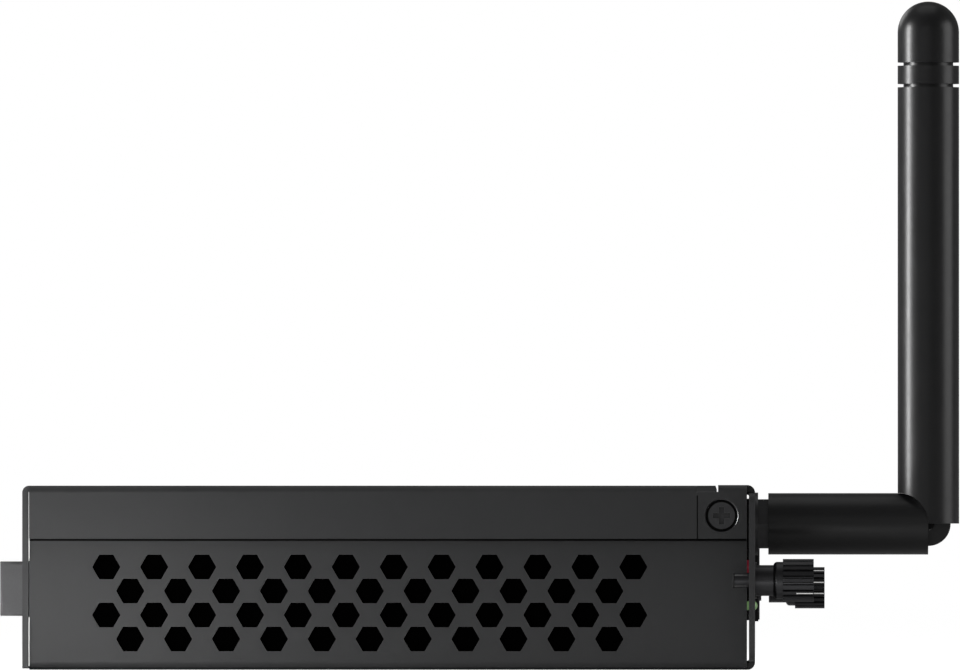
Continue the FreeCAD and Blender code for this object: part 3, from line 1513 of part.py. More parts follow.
def cell():
    body = rod("Z", cell_x, cell_y, cell_low, cell_low + CELL_THICKNESS, CELL_DIAMETER / 2)
    top = [edge for edge in body.Edges if edge.BoundBox.ZMin > cell_low + CELL_THICKNESS / 2]
    return body.makeChamfer(CELL_CHAMFER, top[:1])


def board_components():
    """The port chip beside the cold plate and a row of chokes next to it."""
    half = HUB_CHIP_SIDE / 2
    low_y = processor_y + COLD_PLATE_SIDE / 2 + HUB_CHIP_GAP
    top = board_top + CHIP_THICKNESS
    pieces = [box(processor_x - half, processor_x + half, low_y, low_y + HUB_CHIP_SIDE, board_top, top)]
    x = processor_x + half + CHOKE_GAP
    top = board_top + CHOKE_HEIGHT
    for i in range(CHOKE_COUNT):
        y = low_y + i * CHOKE_PITCH
        pieces.append(box(x, x + CHOKE_SIDE, y, y + CHOKE_SIDE, board_top, top))
    return Part.makeCompound(pieces)


# The nodes, each with its solid or its group of like solids
nodes = {
    "base_tray": base_tray(),
    "top_cover": top_cover(),
    "cover_screws": cover_screws(),
    "vent_screens": vent_screens(),
    "main_board": main_board(),
    "board_posts": board_posts(),
    "board_screws": board_screws(),
    "board_components": board_components(),
    "processor": processor(),
    "cold_plate": cold_plate(),
    "cold_plate_screws": cold_plate_screws(),
    "heat_pipe": heat_pipe(),
    "fin_stack": fin_stack(),
    "blower_housing": blower_housing(),
    "blower_lid": blower_lid(),
    "blower_rotor": blower_rotor(),
    "memory_socket": memory_socket(),
    "memory_module": memory_module(),
    "card_sockets": Part.makeCompound(
        [card_socket(storage_x, storage_socket_y), card_socket(radio_x, radio_socket_y)]
    ),
    "storage_card": card(storage_x, STORAGE_LENGTH, 2),
    "radio_card": card(radio_x, RADIO_LENGTH, 1),
    "card_posts": card_posts(),
    "card_screws": card_screws(),
    "cell_holder": cell_holder(),
    "clock_cell": cell(),
    "rear_plug_shell": rear_plug_shell(),
    "rear_plug_body": rear_plug_body(),
    "rear_plug_contacts": rear_plug_contacts(),
    "stacked_port_shells": stack_shells(),
    "stacked_port_tongues": stack_tongues(),
    "video_a_shell": video_port(video_a_outline, VIDEO_A_LENGTH),
    "video_a_tongue": video_tongue(video_a_outline, VIDEO_A_LENGTH),
    "video_b_shell": video_port(video_b_outline, VIDEO_B_LENGTH),
    "video_b_tongue": video_tongue(video_b_outline, VIDEO_B_LENGTH),
    "network_shell": network_shell(),
    "network_insert": network_insert(),
    "network_contacts": network_contacts(),
    "audio_jacks": Part.makeCompound([audio_jack("line_out"), audio_jack("microphone")]),
    "line_out_ring": audio_ring("line_out"),
    "microphone_ring": audio_ring("microphone"),
    "lamp_body": lamp_body(),
    "lamp_green": lamp(lamp_green_z, GREEN_LAMP_DIAMETER, LAMP_PROUD),
    "lamp_red": lamp(lamp_red_z, RED_LAMP_DIAMETER, 0.0),
    "power_button": push_button(
        "power", power_z, POWER_CAP, POWER_FLANGE, POWER_FLANGE_THICKNESS, front + POWER_PROUD
    ),
    "power_switch": button_switch(
        "power", power_z, POWER_BLOCK, POWER_BLOCK_HEIGHT, POWER_FLANGE_THICKNESS
    ),
    "reset_button": push_button(
        "reset", reset_z, RESET_CAP, RESET_FLANGE, RESET_FLANGE_THICKNESS, front - RESET_RECESS
    ),
    "reset_switch": button_switch(
        "reset", reset_z, RESET_BLOCK, RESET_BLOCK_HEIGHT, RESET_FLANGE_THICKNESS
    ),
    "antenna_jack": antenna_jack(),
    "antenna_washer": antenna_washer(),
    "antenna_nut": antenna_nut(),
    "antenna_base": antenna_base(),
    "hinge_pin": hinge_pin(),
    "antenna_whip": antenna_whip(),
    "thumb_screw_bushes": Part.makeCompound([screw_bush(y, z) for y, z, _ in thumb_places.values()]),
}
for name, (y, z, shift) in thumb_places.items():
    nodes[f"slide_washer_{name}"] = slide_washer(y, z, shift)
    nodes[f"thumb_screw_{name}"] = thumb_screw(y, z, shift)

os.makedirs("parts", exist_ok=True)
for name, shape in nodes.items():
    shape.exportStep(f"parts/{name}.step")
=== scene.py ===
import json
import math

import bpy
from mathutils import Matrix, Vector


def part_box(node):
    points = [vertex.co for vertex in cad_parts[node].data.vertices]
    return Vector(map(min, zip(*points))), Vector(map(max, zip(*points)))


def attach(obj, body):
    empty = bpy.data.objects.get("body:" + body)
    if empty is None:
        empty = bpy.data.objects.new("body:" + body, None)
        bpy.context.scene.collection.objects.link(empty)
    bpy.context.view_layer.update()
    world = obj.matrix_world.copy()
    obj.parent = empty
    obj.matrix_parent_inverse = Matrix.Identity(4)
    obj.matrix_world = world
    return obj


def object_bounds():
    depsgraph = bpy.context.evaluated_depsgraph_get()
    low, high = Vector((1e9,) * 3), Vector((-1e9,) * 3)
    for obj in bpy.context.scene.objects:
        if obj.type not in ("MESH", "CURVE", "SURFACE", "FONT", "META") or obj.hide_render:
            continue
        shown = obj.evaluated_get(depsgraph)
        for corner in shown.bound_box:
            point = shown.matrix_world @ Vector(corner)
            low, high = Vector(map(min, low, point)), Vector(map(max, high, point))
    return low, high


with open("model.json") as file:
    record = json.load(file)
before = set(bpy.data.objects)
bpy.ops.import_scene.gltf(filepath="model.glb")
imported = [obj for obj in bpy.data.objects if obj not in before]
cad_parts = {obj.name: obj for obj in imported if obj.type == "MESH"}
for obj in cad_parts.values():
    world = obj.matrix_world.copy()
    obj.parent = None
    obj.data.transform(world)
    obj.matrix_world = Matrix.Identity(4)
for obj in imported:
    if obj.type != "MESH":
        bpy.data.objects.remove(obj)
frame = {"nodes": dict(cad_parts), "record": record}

# The slot-in display computer module, dressed: black powder coat, moulded and metal finishes, and the
# small forms that the solids leave out. Lengths are in metres, and in millimetres where a comment says so.

cad_low, cad_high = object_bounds()
nodes = frame["nodes"]
MM = 0.001

# Camera: square to the side wall and far off, so that the view is nearly flat
LENS = 1000.0
SENSOR = 36.0
VIEW_WIDTH = 156.0 * MM
VIEW_MIDDLE_X = 14.8 * MM
VIEW_MIDDLE_Z = 54.4 * MM
SCALE_PLANE_DEPTH = 5 * MM
EYE_X = 58.35 * MM
EYE_Z = 14.0 * MM

# Stage
FLOOR_SIZE = 30.0
FLOOR_COLOUR = (0.9, 0.9, 0.9, 1)
FLOOR_GLOW = 0.88
ROOM_STRENGTH = 0.13
BACKDROP = (1, 1, 1, 1)

# Soft lights: name, place, the point that it faces, width, height and power
LIGHTS = (
    ("left strip", (-0.6, -0.19, 0.12), (0.05, -0.08, 0.05), 0.13, 0.42, 5.6),
    ("right panel", (0.75, -0.2, 0.2), (0.09, -0.075, 0.06), 0.45, 0.5, 1.4),
    ("low strip", (-0.13, -0.155, 0.006), (-0.11, -0.09, 0.004), 0.2, 0.01, 0.06),
    ("low strip right", (0.0, -0.13, 0.004), (0.0, -0.09, 0.002), 0.16, 0.006, 0.003),
    ("front fill", (-0.1, -0.9, 0.25), (0.0, -0.09, 0.03), 0.5, 0.3, 0.12),
    ("overhead", (0.0, 0.1, 1.2), (0, 0, 0), 0.9, 0.9, 1.0),
    ("behind", (-0.6, 0.9, 0.5), (0, 0.05, 0.02), 0.6, 0.5, 1.5),
)


# Node helpers

def put(tree, kind, inputs=None, **settings):
    """A new node. Each input is a socket to join, or a value for it."""
    node = tree.nodes.new(kind)
    for name, value in settings.items():
        setattr(node, name, value)
    for name, value in (inputs or {}).items():
        if isinstance(value, bpy.types.NodeSocket):
            tree.links.new(value, node.inputs[name])
        else:
            node.inputs[name].default_value = value
    return node


def maths(tree, operation, first, second=0.0, clamp=False):
    """The result of one sum on two numbers or sockets."""
    node = put(tree, "ShaderNodeMath", {0: first, 1: second}, operation=operation, use_clamp=clamp)
    return node.outputs[0]


def blended(tree, share, first, second):
    """Two colours mixed by a share."""
    node = put(tree, "ShaderNodeMix", {0: share, 6: first, 7: second}, data_type="RGBA")
    return node.outputs[2]


def spread(tree, value, low, high):
    """A number from 0 to 1 spread from low to high."""
    node = put(tree, "ShaderNodeMapRange", {"Value": value, "To Min": low, "To Max": high})
    return node.outputs[0]


def effect(name, numbers, outputs, build):
    """A shader node group that takes a place and named numbers, and gives out named numbers."""
    group = bpy.data.node_groups.new(name, "ShaderNodeTree")
    group.interface.new_socket("Vector", in_out="INPUT", socket_type="NodeSocketVector")
    for label, default in numbers.items():
        socket = group.interface.new_socket(label, in_out="INPUT", socket_type="NodeSocketFloat")
        socket.default_value = default
    for label in outputs:
        group.interface.new_socket(label, in_out="OUTPUT", socket_type="NodeSocketFloat")
    given = group.nodes.new("NodeGroupInput").outputs
    wanted = group.nodes.new("NodeGroupOutput").inputs
    build(group, given, wanted)
    return group


def use(tree, group, **inputs):
    """A group placed in a material, with its own values."""
    node = tree.nodes.new("ShaderNodeGroup")
    node.node_tree = group
    for name, value in inputs.items():
        if isinstance(value, bpy.types.NodeSocket):
            tree.links.new(value, node.inputs[name])
        else:
            node.inputs[name].default_value = value
    return node.outputs


# Effects that several finishes share

def speckle(tree, place, scale, detail):
    """A field of noise at a scale, from 0 to 1."""
    noise = put(tree, "ShaderNodeTexNoise", {"Vector": place, "Scale": scale, "Detail": detail})
    return noise.outputs["Fac"]


def build_grain(tree, given, wanted):
    """Fine grain for the height, and the same with coarse clouds for the shade."""
    fine = speckle(tree, given["Vector"], given["Scale"], detail=3.0)
    coarse_scale = maths(tree, "MULTIPLY", given["Scale"], COARSE_SHARE)
    coarse = speckle(tree, given["Vector"], coarse_scale, detail=2.0)
    tree.links.new(fine, wanted["Height"])
    tree.links.new(maths(tree, "MULTIPLY", maths(tree, "ADD", fine, coarse), 0.5), wanted["Shade"])


def build_streaks(tree, given, wanted):
    """Noise stretched along one axis."""
    scales = {0: given["Along X"], 1: given["Along Y"], 2: given["Along Z"]}
    stretch = put(tree, "ShaderNodeCombineXYZ", scales)
    lines = put(tree, "ShaderNodeMapping", {"Vector": given["Vector"], "Scale": stretch.outputs[0]})
    noise = speckle(tree, lines.outputs[0], scale=1.0, detail=4.0)
    tree.links.new(noise, wanted["Height"])
    tree.links.new(noise, wanted["Shade"])


def in_patches(tree, given, wanted, amount, scale, detail, least, most):
    """A mask broken up by noise, from its least share to its most, and scaled by the group's Amount."""
    share = spread(tree, speckle(tree, given["Vector"], scale, detail), least, most)
    patchy = maths(tree, "MULTIPLY", amount, share)
    tree.links.new(maths(tree, "MULTIPLY", patchy, given["Amount"], clamp=True), wanted["Mask"])


def build_wear(tree, given, wanted):
    """Worn edges: where a rounded normal departs from the plain one."""
    rounded = put(tree, "ShaderNodeBevel", {"Radius": given["Radius"]}, samples=4).outputs[0]
    plain = put(tree, "ShaderNodeNewGeometry").outputs["Normal"]
    likeness = put(tree, "ShaderNodeVectorMath", {0: rounded, 1: plain}, operation="DOT_PRODUCT")
    bent = maths(tree, "SUBTRACT", 1.0, likeness.outputs["Value"])
    in_patches(tree, given, wanted, bent, scale=420.0, detail=3.0, least=0.2, most=1.8)


def build_dust(tree, given, wanted):
    """Settled dust, on what faces up."""
    facing = put(tree, "ShaderNodeSeparateXYZ", {0: put(tree, "ShaderNodeNewGeometry").outputs["Normal"]})
    upwards = maths(tree, "MAXIMUM", facing.outputs["Z"], 0.0)
    in_patches(tree, given, wanted, upwards, scale=60.0, detail=5.0, least=-0.4, most=1.4)


def build_corner_shade(tree, given, wanted):
    """Painted shade in corners and gaps: darker where ambient occlusion finds them shut in."""
    corners = put(tree, "ShaderNodeAmbientOcclusion", {"Distance": given["Reach"]}, samples=6)
    shut_in = maths(tree, "SUBTRACT", 1.0, corners.outputs["AO"])
    in_patches(tree, given, wanted, shut_in, scale=300.0, detail=3.0, least=0.7, most=1.3)


COARSE_SHARE = 0.13
GRAIN = effect("surface grain", {"Scale": 2500.0}, ["Height", "Shade"], build_grain)
DRAWN_ALONG_X = {"Along X": 60.0, "Along Y": 3000.0, "Along Z": 3000.0}
STREAKS = effect("drawn streaks", DRAWN_ALONG_X, ["Height", "Shade"], build_streaks)
WEAR = effect("edge wear", {"Radius": 0.0002, "Amount": 2.0}, ["Mask"], build_wear)
# Painted corner shade, from ambient occlusion
CORNER_SHADE = effect("painted corner shade", {"Reach": 0.0005, "Amount": 1.6}, ["Mask"], build_corner_shade)
DUST = effect("settled dust", {"Amount": 0.05}, ["Mask"], build_dust)


# Finishes

class Finish:
    """A material under way: its tree, its shader and the place on the piece."""

    def __init__(self, name, roughness, metallic=0.0, coat=0.0):
        self.material = bpy.data.materials.new(name)
        self.material.use_nodes = True
        self.tree = self.material.node_tree
        self.tree.nodes.clear()
        self.shader = put(self.tree, "ShaderNodeBsdfPrincipled")
        self.shader.inputs["Roughness"].default_value = roughness
        self.shader.inputs["Metallic"].default_value = metallic
        self.shader.inputs["Coat Weight"].default_value = coat
        put(self.tree, "ShaderNodeOutputMaterial", {"Surface": self.shader.outputs[0]})
        self.place = put(self.tree, "ShaderNodeTexCoord").outputs["Object"]
        self.colour = None

    def shades(self, share, colour, low, high):
        """The base colour, from a darker to a paler shade of one colour."""
        self.colour = blended(self.tree, share, shade_of(colour, low), shade_of(colour, high))

    def over(self, share, colour):
        """Another colour over what is there, by a share."""
        self.colour = blended(self.tree, share, self.colour, colour)

    def rough(self, value, low, high):
        self.tree.links.new(spread(self.tree, value, low, high), self.shader.inputs["Roughness"])

    def bump(self, height, depth, strength):
        inputs = {"Height": height, "Distance": depth, "Strength": strength}
        node = put(self.tree, "ShaderNodeBump", inputs)
        self.tree.links.new(node.outputs[0], self.shader.inputs["Normal"])

    def shared(self, group, **inputs):
        """A shared effect, placed on the piece."""
        return use(self.tree, group, Vector=self.place, **inputs)

    def done(self):
        self.tree.links.new(self.colour, self.shader.inputs["Base Color"])
        return self.material


def rgb(red, green, blue):
    return (red, green, blue, 1)


def shade_of(colour, factor):
    return rgb(*(min(1.0, channel * factor) for channel in colour[:3]))


WORN_EDGE = rgb(0.09, 0.09, 0.092)
DUST_GREY = rgb(0.3, 0.29, 0.27)
# Near black for the painted shade in corners and gaps
PAINTED_SHADE_BLACK = rgb(0.002, 0.002, 0.002)
PLATED_HOLE = rgb(0.55, 0.5, 0.4)
# Plated holes in the boards: how many to the metre, and their radius as a share of the spacing
HOLES_PER_METRE = 330.0
HOLE_RADIUS = 0.11
SCREEN_PITCH = 0.4 * MM


def powder_coat(name, colour, roughness=0.46, wear=1.5):
    """Fine matt powder coat that shows metal at its worn edges, with dust on top and painted shade in
    corners.
    """
    finish = Finish(name, roughness)
    grain = finish.shared(GRAIN, Scale=2600.0)
    finish.shades(grain["Shade"], colour, 0.82, 1.18)
    finish.over(finish.shared(WEAR, Radius=0.18 * MM, Amount=wear)["Mask"], WORN_EDGE)
    finish.over(finish.shared(DUST, Amount=0.06)["Mask"], DUST_GREY)
    # Painted shade: near black in corners and gaps, from ambient occlusion
    finish.over(finish.shared(CORNER_SHADE, Reach=0.5 * MM, Amount=1.6)["Mask"], PAINTED_SHADE_BLACK)
    finish.rough(grain["Shade"], roughness - 0.06, roughness + 0.06)
    finish.bump(grain["Height"], 0.02 * MM, 0.35)
    return finish.done()


def moulded(name, colour, roughness=0.5, grain_scale=1800.0, coat=0.0, wear=0.6):
    """Moulded plastic with a fine spark-eroded grain."""
    finish = Finish(name, roughness, coat=coat)
    grain = finish.shared(GRAIN, Scale=grain_scale)
    finish.shades(grain["Shade"], colour, 0.88, 1.12)
    finish.over(finish.shared(WEAR, Radius=0.12 * MM, Amount=wear)["Mask"], shade_of(colour, 2.2))
    finish.rough(grain["Shade"], roughness - 0.08, roughness + 0.08)
    finish.bump(grain["Height"], 0.015 * MM, 0.3)
    return finish.done()


def metal(name, colour, roughness, streaks, tarnish=0.75):
    """Bare or plated metal, drawn or rolled along one axis."""
    finish = Finish(name, roughness, metallic=1.0)
    along = dict(zip(("Along X", "Along Y", "Along Z"), streaks))
    lines = finish.shared(STREAKS, **along)
    grain = finish.shared(GRAIN, Scale=350.0)
    finish.shades(lines["Shade"], colour, 0.85, 1.1)
    finish.over(maths(finish.tree, "MULTIPLY", grain["Shade"], 0.3), shade_of(colour, tarnish))
    finish.over(finish.shared(WEAR, Radius=0.12 * MM, Amount=1.0)["Mask"], shade_of(colour, 1.3))
    finish.rough(grain["Shade"], roughness - 0.08, roughness + 0.1)
    finish.bump(lines["Height"], 0.008 * MM, 0.4)
    return finish.done()


def circuit_board(name, colour, trace, pitch=1.1 * MM):
    """Lacquered board with buried tracks and rows of plated holes."""
    finish = Finish(name, 0.36, coat=0.15)
    grain = finish.shared(GRAIN, Scale=900.0)
    finish.shades(grain["Shade"], colour, 0.85, 1.15)
    bricks = {
        "Vector": finish.place,
        "Scale": 1.0,
        "Brick Width": pitch * 9,
        "Row Height": pitch,
        "Mortar Size": pitch * 0.16,
        "Mortar Smooth": 0.1,
    }
    tracks = put(finish.tree, "ShaderNodeTexBrick", bricks, offset=0.37).outputs["Fac"]
    finish.over(maths(finish.tree, "MULTIPLY", tracks, 0.6), trace)
    cells = put(finish.tree, "ShaderNodeTexVoronoi", {"Vector": finish.place, "Scale": HOLES_PER_METRE})
    hole = maths(finish.tree, "LESS_THAN", cells.outputs["Distance"], HOLE_RADIUS)
    finish.over(maths(finish.tree, "MULTIPLY", hole, 0.85), PLATED_HOLE)
    finish.bump(tracks, 0.02 * MM, 0.5)
    return finish.done()


def dust_screen(name, colour):
    """Fine woven mesh that hardly shines. It also serves for the painted shade of gaps and seams, and a
    matt screw tip.
    """
    finish = Finish(name, 0.8)
    finish.shader.inputs["Specular IOR Level"].default_value = 0.01
    grain = finish.shared(GRAIN, Scale=1500.0)
    finish.shades(grain["Shade"], colour, 0.7, 1.3)
    turns = 2 * math.pi / SCREEN_PITCH
    apart = put(finish.tree, "ShaderNodeSeparateXYZ", {0: finish.place})
    across = maths(finish.tree, "SINE", maths(finish.tree, "MULTIPLY", apart.outputs["X"], turns))
    up = maths(finish.tree, "SINE", maths(finish.tree, "MULTIPLY", apart.outputs["Z"], turns))
    weave = maths(finish.tree, "MULTIPLY", across, up)
    finish.over(maths(finish.tree, "MULTIPLY", weave, 0.5, clamp=True), shade_of(colour, 3.0))
    finish.bump(weave, 0.05 * MM, 0.6)
    return finish.done()


def tinted_lens(name, colour, glow):
    """A clear tinted lens over a small lit chip. It also serves for the painted glints on the knobs'
    flutes.
    """
    finish = Finish(name, 0.12, coat=0.5)
    grain = finish.shared(GRAIN, Scale=1400.0)
    finish.shades(grain["Shade"], colour, 0.8, 1.2)
    finish.rough(grain["Shade"], 0.08, 0.2)
    finish.bump(grain["Height"], 0.005 * MM, 0.2)
    finish.shader.inputs["Emission Color"].default_value = colour
    finish.shader.inputs["Emission Strength"].default_value = glow
    return finish.done()


# The way a metal is drawn: its streaks are long where the noise is coarse
ALONG_X = (50.0, 3200.0, 3200.0)
ALONG_Y = (3200.0, 50.0, 3200.0)
ALONG_Z = (3200.0, 3200.0, 50.0)
CASE_BLACK = rgb(0.022, 0.0225, 0.0235)
BLACK = rgb(0.012, 0.012, 0.0125)
CAP_BLACK = rgb(0.02, 0.02, 0.022)
RUBBER_BLACK = rgb(0.008, 0.008, 0.0085)
FINE_GRAIN = 1800.0
RUBBER_GRAIN = 1200.0

# Each finish: the function that makes it, its colour and what else that function takes
RECIPES = {
    "case_paint": (powder_coat, CASE_BLACK),
    "cover_paint": (powder_coat, CASE_BLACK),
    "case_screw": (powder_coat, rgb(0.03, 0.03, 0.032), 0.38, 3.0),
    # Near black: the screen behind the vents paints the shade seen inside them
    "screen_black": (dust_screen, rgb(0.0003, 0.0003, 0.0003)),
    "board_lacquer": (circuit_board, rgb(0.008, 0.045, 0.022), rgb(0.02, 0.11, 0.05)),
    "post_brass": (metal, rgb(0.72, 0.56, 0.28), 0.28, ALONG_Z),
    "board_screw": (metal, rgb(0.6, 0.6, 0.62), 0.25, ALONG_Z),
    "component_black": (moulded, CAP_BLACK, 0.55),
    "chip_silicon": (circuit_board, rgb(0.01, 0.06, 0.03), rgb(0.03, 0.12, 0.06), 0.7 * MM),
    "cold_plate_copper": (metal, rgb(0.75, 0.4, 0.26), 0.3, ALONG_X),
    "pipe_copper": (metal, rgb(0.78, 0.42, 0.28), 0.24, ALONG_Y),
    "fin_aluminium": (metal, rgb(0.74, 0.75, 0.77), 0.3, ALONG_Y),
    "blower_black": (moulded, BLACK, 0.5),
    "blower_lid_steel": (metal, rgb(0.5, 0.5, 0.52), 0.32, ALONG_X),
    "rotor_black": (moulded, rgb(0.016, 0.016, 0.018), 0.42),
    "socket_black": (moulded, BLACK, 0.48),
    "module_board": (circuit_board, rgb(0.006, 0.05, 0.024), rgb(0.02, 0.12, 0.06), 0.8 * MM),
    "card_board": (circuit_board, rgb(0.008, 0.02, 0.06), rgb(0.02, 0.05, 0.12), 0.8 * MM),
    "radio_shield": (metal, rgb(0.62, 0.62, 0.63), 0.35, ALONG_Y),
    "cell_steel": (metal, rgb(0.66, 0.66, 0.67), 0.24, ALONG_X),
    "plug_steel": (metal, rgb(0.15, 0.15, 0.153), 0.5, ALONG_Y),
    "plug_black": (moulded, BLACK, 0.5),
    "contact_gold": (metal, rgb(0.85, 0.64, 0.26), 0.2, ALONG_X, 0.85),
    "port_steel": (metal, rgb(0.58, 0.58, 0.59), 0.3, ALONG_X),
    "port_blue": (moulded, rgb(0.01, 0.09, 0.4), 0.38),
    "port_black": (moulded, BLACK, 0.46),
    "network_shell_dark": (metal, rgb(0.14, 0.14, 0.145), 0.38, ALONG_Y),
    "ring_green": (moulded, rgb(0.06, 0.42, 0.12), 0.35),
    "ring_red": (moulded, rgb(0.55, 0.06, 0.14), 0.35),
    "lamp_black": (moulded, BLACK, 0.5),
    "lens_green": (tinted_lens, rgb(0.14, 0.25, 0.1), 0.6),
    "lens_red": (tinted_lens, rgb(0.22, 0.015, 0.03), 0.35),
    "button_cap": (moulded, CAP_BLACK, 0.3, FINE_GRAIN, 0.1),
    "switch_black": (moulded, BLACK, 0.5),
    "jack_dark": (metal, rgb(0.09, 0.09, 0.092), 0.34, ALONG_X),
    "bush_dark": (metal, rgb(0.11, 0.11, 0.115), 0.36, ALONG_X),
    "antenna_rubber": (moulded, RUBBER_BLACK, 0.36, RUBBER_GRAIN),
    "whip_rubber": (moulded, RUBBER_BLACK, 0.33, RUBBER_GRAIN),
    "pin_steel": (metal, rgb(0.02, 0.02, 0.02), 0.45, ALONG_Y),
    "thumb_black": (metal, rgb(0.07, 0.07, 0.073), 0.36, ALONG_X),
    # Finishes that only the small forms below have
    "capacitor_tan": (moulded, rgb(0.32, 0.2, 0.11), 0.4),
    "window_amber": (tinted_lens, rgb(0.5, 0.26, 0.03), 0.1),
    "rubbed_rim": (metal, rgb(0.2, 0.2, 0.205), 0.3, ALONG_X),
    "matt_tip": (dust_screen, rgb(0.03, 0.03, 0.0305)),
    # Painted shade: the black of the ring round each side screw's head
    "gap_black": (dust_screen, rgb(0.003, 0.003, 0.003)),
    "dark_plate": (metal, rgb(0.035, 0.035, 0.036), 0.4, ALONG_Y),
    "seal_black": (moulded, rgb(0.003, 0.003, 0.003), 0.7),
    # Painted light: the pale of the strips inside the rear slots
    "seal_pale": (moulded, rgb(0.78, 0.78, 0.77), 0.6, FINE_GRAIN, 0.0, 0.0),
    # Painted glint: pale and glowing, for the bright lines on the knobs' flutes
    "rubbed_pale": (tinted_lens, rgb(0.8, 0.8, 0.79), 0.3),
    # Painted highlight: the pale grey of the ridges along the thumb screws' tails
    "rubbed_grey": (moulded, rgb(0.24, 0.24, 0.24), 0.35),
    # Painted shadow: the black of the strips under the cover's skirt and down a seam in it
    "seam_black": (dust_screen, rgb(0.005, 0.005, 0.005)),
}
FINISHES = {name: maker(name, *values) for name, (maker, *values) in RECIPES.items()}

for part in frame["record"]["subparts"]:
    nodes[part["node"]].material_slots[0].material = FINISHES[part["material_slot"]]


# Modelling by hand: a primitive at its place, shaped in edit mode, with its place left in its mesh

FACING = 0.9
LAY = {"X": (0, math.radians(90), 0), "Y": (math.radians(90), 0, 0), "Z": (0, 0, 0)}
# How far a laid-on piece reaches into what carries it, in millimetres
OVERLAP = 0.02
bpy.context.tool_settings.mesh_select_mode = (False, False, True)


def box_of(node):
    """A CAD node's lowest and highest corners, in millimetres."""
    low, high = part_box(node)
    return low / MM, high / MM


def middle_of(low, high):
    """The middle of a box across and up."""
    return (low.y + high.y) / 2, (low.z + high.z) / 2


def alone(piece):
    """Only this piece is selected."""
    bpy.ops.object.select_all(action="DESELECT")
    piece.select_set(True)
    bpy.context.view_layer.objects.active = piece


def settle(piece):
    """Its place and turn are worked into its mesh."""
    alone(piece)
    bpy.ops.object.transform_apply(location=True, rotation=True, scale=True)


def block(name, low, high):
    """A block between two corners, in millimetres."""
    low = Vector(low) * MM
    high = Vector(high) * MM
    bpy.ops.object.select_all(action="DESELECT")
    bpy.ops.mesh.primitive_cube_add(size=1, location=(low + high) / 2)
    piece = bpy.context.object
    piece.name = name
    piece.scale = high - low
    settle(piece)
    return piece


def bar(name, start, radius, length, axis, sides=32):
    """A round bar from a point along an axis, in millimetres."""
    along = Vector((axis == "X", axis == "Y", axis == "Z"))
    middle = (Vector(start) + along * length / 2) * MM
    bpy.ops.object.select_all(action="DESELECT")
    bpy.ops.mesh.primitive_cylinder_add(
        vertices=sides, radius=radius * MM, depth=length * MM, location=middle, rotation=LAY[axis]
    )
    piece = bpy.context.object
    piece.name = name
    settle(piece)
    return piece


def open_faces(piece, wanted):
    """Into edit mode, with only the faces selected that a test of middle (mm) and normal picks."""
    alone(piece)
    for parts in (piece.data.vertices, piece.data.edges):
        parts.foreach_set("select", [False] * len(parts))
    for face in piece.data.polygons:
        face.select = bool(wanted(face.center / MM, face.normal))
    bpy.ops.object.mode_set(mode="EDIT")


def close_faces():
    """Back out of edit mode."""
    bpy.ops.object.mode_set(mode="OBJECT")


def looks_forward(middle, normal):
    return normal.x > FACING


def looks_up(middle, normal):
    return normal.z > FACING


def sink(piece, wanted, border, depth):
    """The wanted faces drawn in by a border and pushed in, or raised where depth is below 0."""
    open_faces(piece, wanted)
    bpy.ops.mesh.inset(thickness=border * MM, depth=0)
    if depth:
        bpy.ops.mesh.inset(thickness=0, depth=-depth * MM)
    close_faces()


def soften(piece, width, segments=2):
    """Rounded edges, by an applied bevel."""
    alone(piece)
    bevel = piece.modifiers.new("edges", "BEVEL")
    bevel.width = width * MM
    bevel.segments = segments
    bevel.limit_method = "ANGLE"
    bevel.angle_limit = math.radians(35)
    bpy.ops.object.modifier_apply(modifier=bevel.name)
    bpy.ops.object.shade_smooth_by_angle(angle=math.radians(40))


def twin(piece, shift):
    """A copy with its own mesh, moved by a shift in millimetres."""
    other = piece.copy()
    other.data = piece.data.copy()
    bpy.context.scene.collection.objects.link(other)
    other.location = Vector(shift) * MM
    settle(other)
    return other


def turn_about(piece, point, axis, degrees):
    """Turned about an axis through a point in millimetres."""
    alone(piece)
    bpy.ops.transform.rotate(
        value=math.radians(degrees),
        orient_axis=axis,
        orient_type="GLOBAL",
        center_override=Vector(point) * MM,
    )
    settle(piece)


def join_openings(piece):
    """Walls between the two open rims of a piece, and all its faces turned outward."""
    alone(piece)
    counts = {}
    for face in piece.data.polygons:
        for key in face.edge_keys:
            counts[key] = counts.get(key, 0) + 1
    for parts in (piece.data.vertices, piece.data.polygons):
        parts.foreach_set("select", [False] * len(parts))
    for edge in piece.data.edges:
        edge.select = counts.get(edge.key, 0) == 1
        if edge.select:
            for end in edge.vertices:
                piece.data.vertices[end].select = True
    bpy.context.tool_settings.mesh_select_mode = (False, True, False)
    bpy.ops.object.mode_set(mode="EDIT")
    bpy.ops.mesh.bridge_edge_loops()
    bpy.ops.mesh.select_all(action="SELECT")
    bpy.ops.mesh.normals_make_consistent(inside=False)
    bpy.ops.object.mode_set(mode="OBJECT")
    bpy.context.tool_settings.mesh_select_mode = (False, False, True)


def hollowed(piece, axis, wall):
    """Opened through along an axis, which leaves a wall of this thickness in millimetres."""
    along = "XYZ".index(axis)
    open_faces(piece, lambda middle, normal: abs(normal[along]) > FACING)
    bpy.ops.mesh.inset(thickness=wall * MM, depth=0)
    bpy.ops.mesh.delete(type="FACE")
    close_faces()
    join_openings(piece)


def ring(name, start, outer, inner, length, axis, sides=64):
    """A flat ring from a point along an axis, in millimetres."""
    piece = bar(name, start, outer, length, axis, sides)
    hollowed(piece, axis, outer - inner)
    return piece


def joined(name, parts):
    """Several parts made one piece."""
    bpy.ops.object.select_all(action="DESELECT")
    for part in parts:
        part.select_set(True)
    bpy.context.view_layer.objects.active = parts[0]
    bpy.ops.object.join()
    piece = bpy.context.object
    piece.name = name
    return piece


